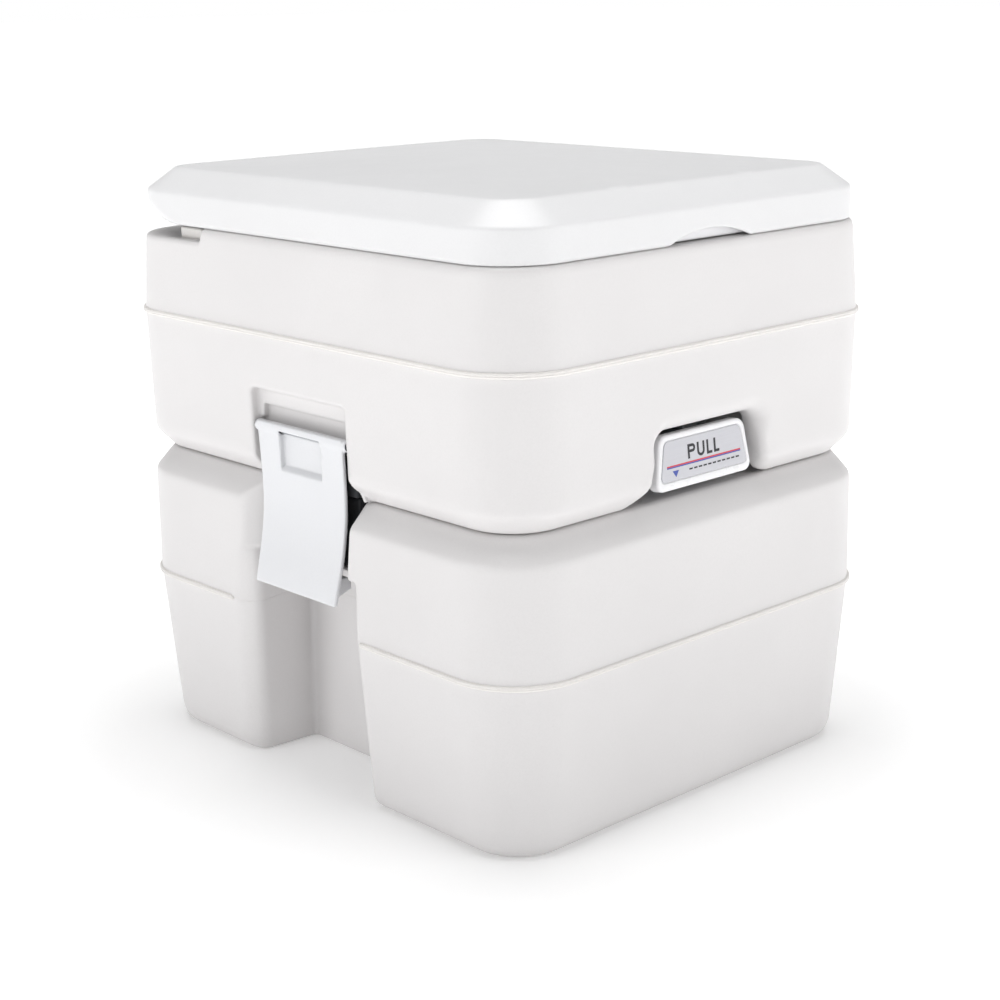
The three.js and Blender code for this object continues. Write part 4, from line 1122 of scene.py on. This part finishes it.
def hose_points():
    end = NOZZLE_AT + NOZZLE_AIM * 25.6
    near = NOZZLE_AT + NOZZLE_AIM * 16
    start = Vector((PUMP_AT[0] - 13.2, PUMP_AT[1] + 6, 350))
    middle = Vector(((start.x + near.x) / 2, (start.y + near.y) / 2 - 3, 347))
    chain = [start, middle, near, end]
    out = []
    for k in range(3):
        p = [chain[max(k - 1, 0)], chain[k], chain[k + 1], chain[min(k + 2, 3)]]
        for t in np.linspace(0, 1, 8, endpoint=k == 2):
            out.append(tuple(0.5 * (
                2 * p[1] + (p[2] - p[0]) * t + (2 * p[0] - 5 * p[1] + 4 * p[2] - p[3]) * t**2
                + (3 * p[1] - p[0] - 3 * p[2] + p[3]) * t**3
            )))
    return out


piece(swept("flush_hose", hose_points(), 4.2, 2.8, 24), "upper_unit", tube_mat, "flush_tube")

pump_cup = [
    (9.5, 338, 0), (9.5, 372, 0.4), (21.5, 372, 0.6), (21.5, 368.3, 0.5), (12, 368.3, 0.3), (12, 335, 1.0),
    (4.5, 335, 0.3), (4.5, 225, 0.3), (3, 225, 0.2), (3, 338, 0.2),
]
piece(turned("pump_housing", pump_cup, (*PUMP_AT, 0), steps=56), "upper_unit", cap_mat, "pump_base")


def bellows():
    outline = []
    for z in np.linspace(372.3, 393.9, 60):
        outline.append((15.75 - 1.75 * math.cos(2 * math.pi * 4 * (z - 372.3) / 21.6), float(z)))
    outline += [(r - 1.8, z) for r, z in reversed(outline)]
    return turned("pump_folds", outline, (*PUMP_AT, 0), steps=64, sharp=80)


piece(bellows(), body_of("pump_bellows"), bellows_mat, "pump_bellows")
button = [
    (0, 394.2, 0), (18, 394.2, 0.5), (18, 399, 1.0), (17, 402, 1.4), (14, 403.6, 1.4), (9, 403.2, 3.0), (0, 402, 0),
]
piece(turned("pump_knob", button, (*PUMP_AT, 0), steps=72), "pump_button", cap_mat, "pump_button")


# ---------------------------------------------------------------- hinges, pins and bumpers
def hinge_block(side, name):
    low, high = sorted((side * 96, side * 124))
    field = Field((low, 146, 367), (high, 191, 405), (0.7, 0.7, 0.7))
    _, x, y, z = field.grid()
    ax = np.abs(x)
    arm = outline_distance(
        y[0], z[0], [(153, 370), (176, 370), (188.6, 393.5), (181, 395.7), (174, 399)]
    )[None]
    knuckle = from_hinge(y, z)
    arm = meet(join(arm, knuckle - KNUCKLE, 2.0), np.maximum(104 - ax, ax - 116), 0.8)
    foot = rounded_box(x, y, z, (low, 148, 368.3), (high, 186, 371.8), 1.2)
    shape = join(arm, foot, 2.5)
    field.values = np.maximum(shape, HINGE_BORE - knuckle).astype(F32)
    return field.mesh(name, 0.01)


for side, word in ((-1, "left"), (1, "right")):
    piece(hinge_block(side, f"hinge_bracket_{word}"), "upper_unit", tank_mat, f"hinge_block_{word}")
    a, b = sorted((side * 91, side * 129))
    pin = [(0, a, 0), (3, a, 0.6), (3, b, 0.6), (0, b, 0)]
    piece(turned(f"hinge_rod_{word}", pin, (0, *HINGE), (1, 0, 0), 32), "upper_unit",
          steel_mat, f"hinge_pin_{word}")
    rod = [(0, -51.8, 0), (2.4, -51.8, 0.5), (2.4, 51.8, 0.5), (0, 51.8, 0)]
    at = (side * LATCH_PIVOT[0], 0, LATCH_PIVOT[1])
    piece(turned(f"latch_rod_{word}", rod, at, (0, 1, 0), 28), "upper_unit",
          steel_mat, f"latch_pin_{word}")

for k, at in enumerate(((82, 54), (-82, 54), (82, -126), (-82, -126))):
    foot = [(0, 371.6, 0), (5, 371.6, 0.8), (6, 373, 0.8), (6, 380.7, 0.4), (0, 380.7, 0)]
    name = f"seat_foot_{k + 1}"
    piece(turned(name, foot, (*at, 0), steps=32), "seat", rubber_mat, f"seat_bumper_{k + 1}")
for k, x in enumerate((-60, 60)):
    foot = [(0, 395.4, 0), (5, 395.4, 0.9), (5, 399.7, 0.3), (0, 399.7, 0)]
    name = f"lid_foot_{k + 1}"
    piece(turned(name, foot, (x, -172, 0), steps=32), "lid", rubber_mat, f"lid_bumper_{k + 1}")


for side, word in ((-1, "left"), (1, "right")):
    low, high = sorted((side * 160, side * 167))
    field = Field((low, 115, 367), (high, 141, 377), (0.7, 0.7, 0.7))
    _, x, y, z = field.grid()
    field.values = rounded_box(x, y, z, (low, 115, 367.6), (high, 141, 375.6), 1.6).astype(F32)
    piece(field.mesh(f"lid_rest_{word}", 0.01), "upper_unit", bead_mat)


def shadow_pad(name, body, side, inner, outer, span_y, span_z):
    """Dark rubber pad at the bottom of the gap in front of the latch: a dark piece that stands in for the shadow in the
    gap.
    """
    low, high = sorted((side * inner, side * outer))
    field = Field((low, span_y[0], span_z[0]), (high, span_y[1], span_z[1]), (0.8, 0.8, 0.8))
    _, x, y, z = field.grid()
    field.values = rounded_box(x, y, z, (low, span_y[0], span_z[0]), (high, span_y[1], span_z[1]), 1.0).astype(F32)
    piece(field.mesh(name, 0.02), body, rubber_mat)


# Dark pads in the gaps in front of the latches, standing in for shadow.
for side, word in ((-1, "left"), (1, "right")):
    shadow_pad(f"shadow_pad_lower_{word}", "waste_tank", side, 147.6, 164.5, (-45, -16), (163.5, 212.8))
    shadow_pad(f"shadow_pad_upper_{word}", "upper_unit", side, 160.6, 170.2, (-49.4, -34.4), (214.6, 243.4))


# ---------------------------------------------------------------- CAD nodes that stay
for node, material in (("valve_base", valve_mat), ("valve_blade", blade_mat), ("valve_frame", valve_mat)):
    obj = frame["nodes"][node]
    for slot in obj.material_slots:
        slot.material = material
    bevel = obj.modifiers.new("Bevel", "BEVEL")
    bevel.width = 0.5 * MM
    bevel.segments = 2
    bevel.limit_method = "ANGLE"
    bevel.angle_limit = math.radians(35)
    bevel.harden_normals = True


# ---------------------------------------------------------------- floor, light and camera
def floor_paint():
    """Pale matt paint that glows a little away from the object, so that the floor runs into a white distance."""
    material = plastic("floor_paint", (0.93, 0.93, 0.93), 0.8, mottle=0.004, edge_wear_and_nook_shade=0.0, orange=0.0001)
    nodes, links = material.node_tree.nodes, material.node_tree.links
    coords = nodes.new("ShaderNodeTexCoord")
    length = nodes.new("ShaderNodeVectorMath")
    length.operation = "LENGTH"
    links.new(coords.outputs["Object"], length.inputs[0])
    glow = spread(material.node_tree, length.outputs["Value"], 0.28, 1.2, 0.2, 0.9)
    shader = nodes["Principled BSDF"]
    shader.inputs["Emission Color"].default_value = (1, 1, 1, 1)
    links.new(glow, shader.inputs["Emission Strength"])
    return material


def floor():
    size = 30.0
    mesh = bpy.data.meshes.new("floor")
    mesh.from_pydata([(-size, -size, 0), (size, -size, 0), (size, size, 0), (-size, size, 0)], [], [(0, 1, 2, 3)])
    obj = bpy.data.objects.new("floor", mesh)
    bpy.context.scene.collection.objects.link(obj)
    mesh.materials.append(floor_paint())


def area_light(name, at, size, power, aim=(0, 0, 0.2)):
    data = bpy.data.lights.new(name, "AREA")
    data.shape = "RECTANGLE"
    data.size, data.size_y = size
    data.energy = power
    obj = bpy.data.objects.new(name, data)
    obj.location = at
    obj.rotation_mode = "QUATERNION"
    obj.rotation_quaternion = (Vector(aim) - Vector(at)).to_track_quat("-Z", "Y")
    bpy.context.scene.collection.objects.link(obj)


floor()
area_light("key_light", (-2.8, 0.5, 1.25), (2.0, 1.8), 24)
area_light("front_light", (1.4, -2.7, 1.3), (2.2, 1.8), 27)
area_light("top_light", (0.1, 0.1, 2.7), (2.0, 2.0), 50)
world = bpy.data.worlds.new("studio")
world.use_nodes = True
sky = world.node_tree.nodes["Background"]
direction = world.node_tree.nodes.new("ShaderNodeTexCoord")
split = world.node_tree.nodes.new("ShaderNodeSeparateXYZ")
world.node_tree.links.new(direction.outputs["Generated"], split.inputs[0])
horizon = spread(world.node_tree, split.outputs[2], 0.05, 0.22, 1.0, 0.16)
world.node_tree.links.new(horizon, sky.inputs["Strength"])
sky.inputs["Color"].default_value = (1.0, 1.0, 1.0, 1)
scene = bpy.context.scene
scene.world = world
scene.view_settings.view_transform = "Standard"
scene.view_settings.look = "None"


def camera():
    azimuth, elevation, roll = (math.radians(v) for v in (-43.0, 15.23, -0.88))
    back = Vector((
        math.sin(azimuth) * math.cos(elevation), -math.cos(azimuth) * math.cos(elevation), math.sin(elevation),
    ))
    right = Vector((math.cos(azimuth), math.sin(azimuth), 0))
    up = back.cross(right)
    right, up = (
        right * math.cos(roll) + up * math.sin(roll),
        up * math.cos(roll) - right * math.sin(roll),
    )
    data = bpy.data.cameras.new("camera")
    data.sensor_width = 36
    data.lens = 68.19
    obj = bpy.data.objects.new("camera", data)
    obj.matrix_world = Matrix.Translation((-0.90957, -0.97786, 0.53463)) @ Matrix(
        ((right.x, up.x, back.x), (right.y, up.y, back.y), (right.z, up.z, back.z))
    ).to_4x4()
    scene.collection.objects.link(obj)
    scene.camera = obj


camera()
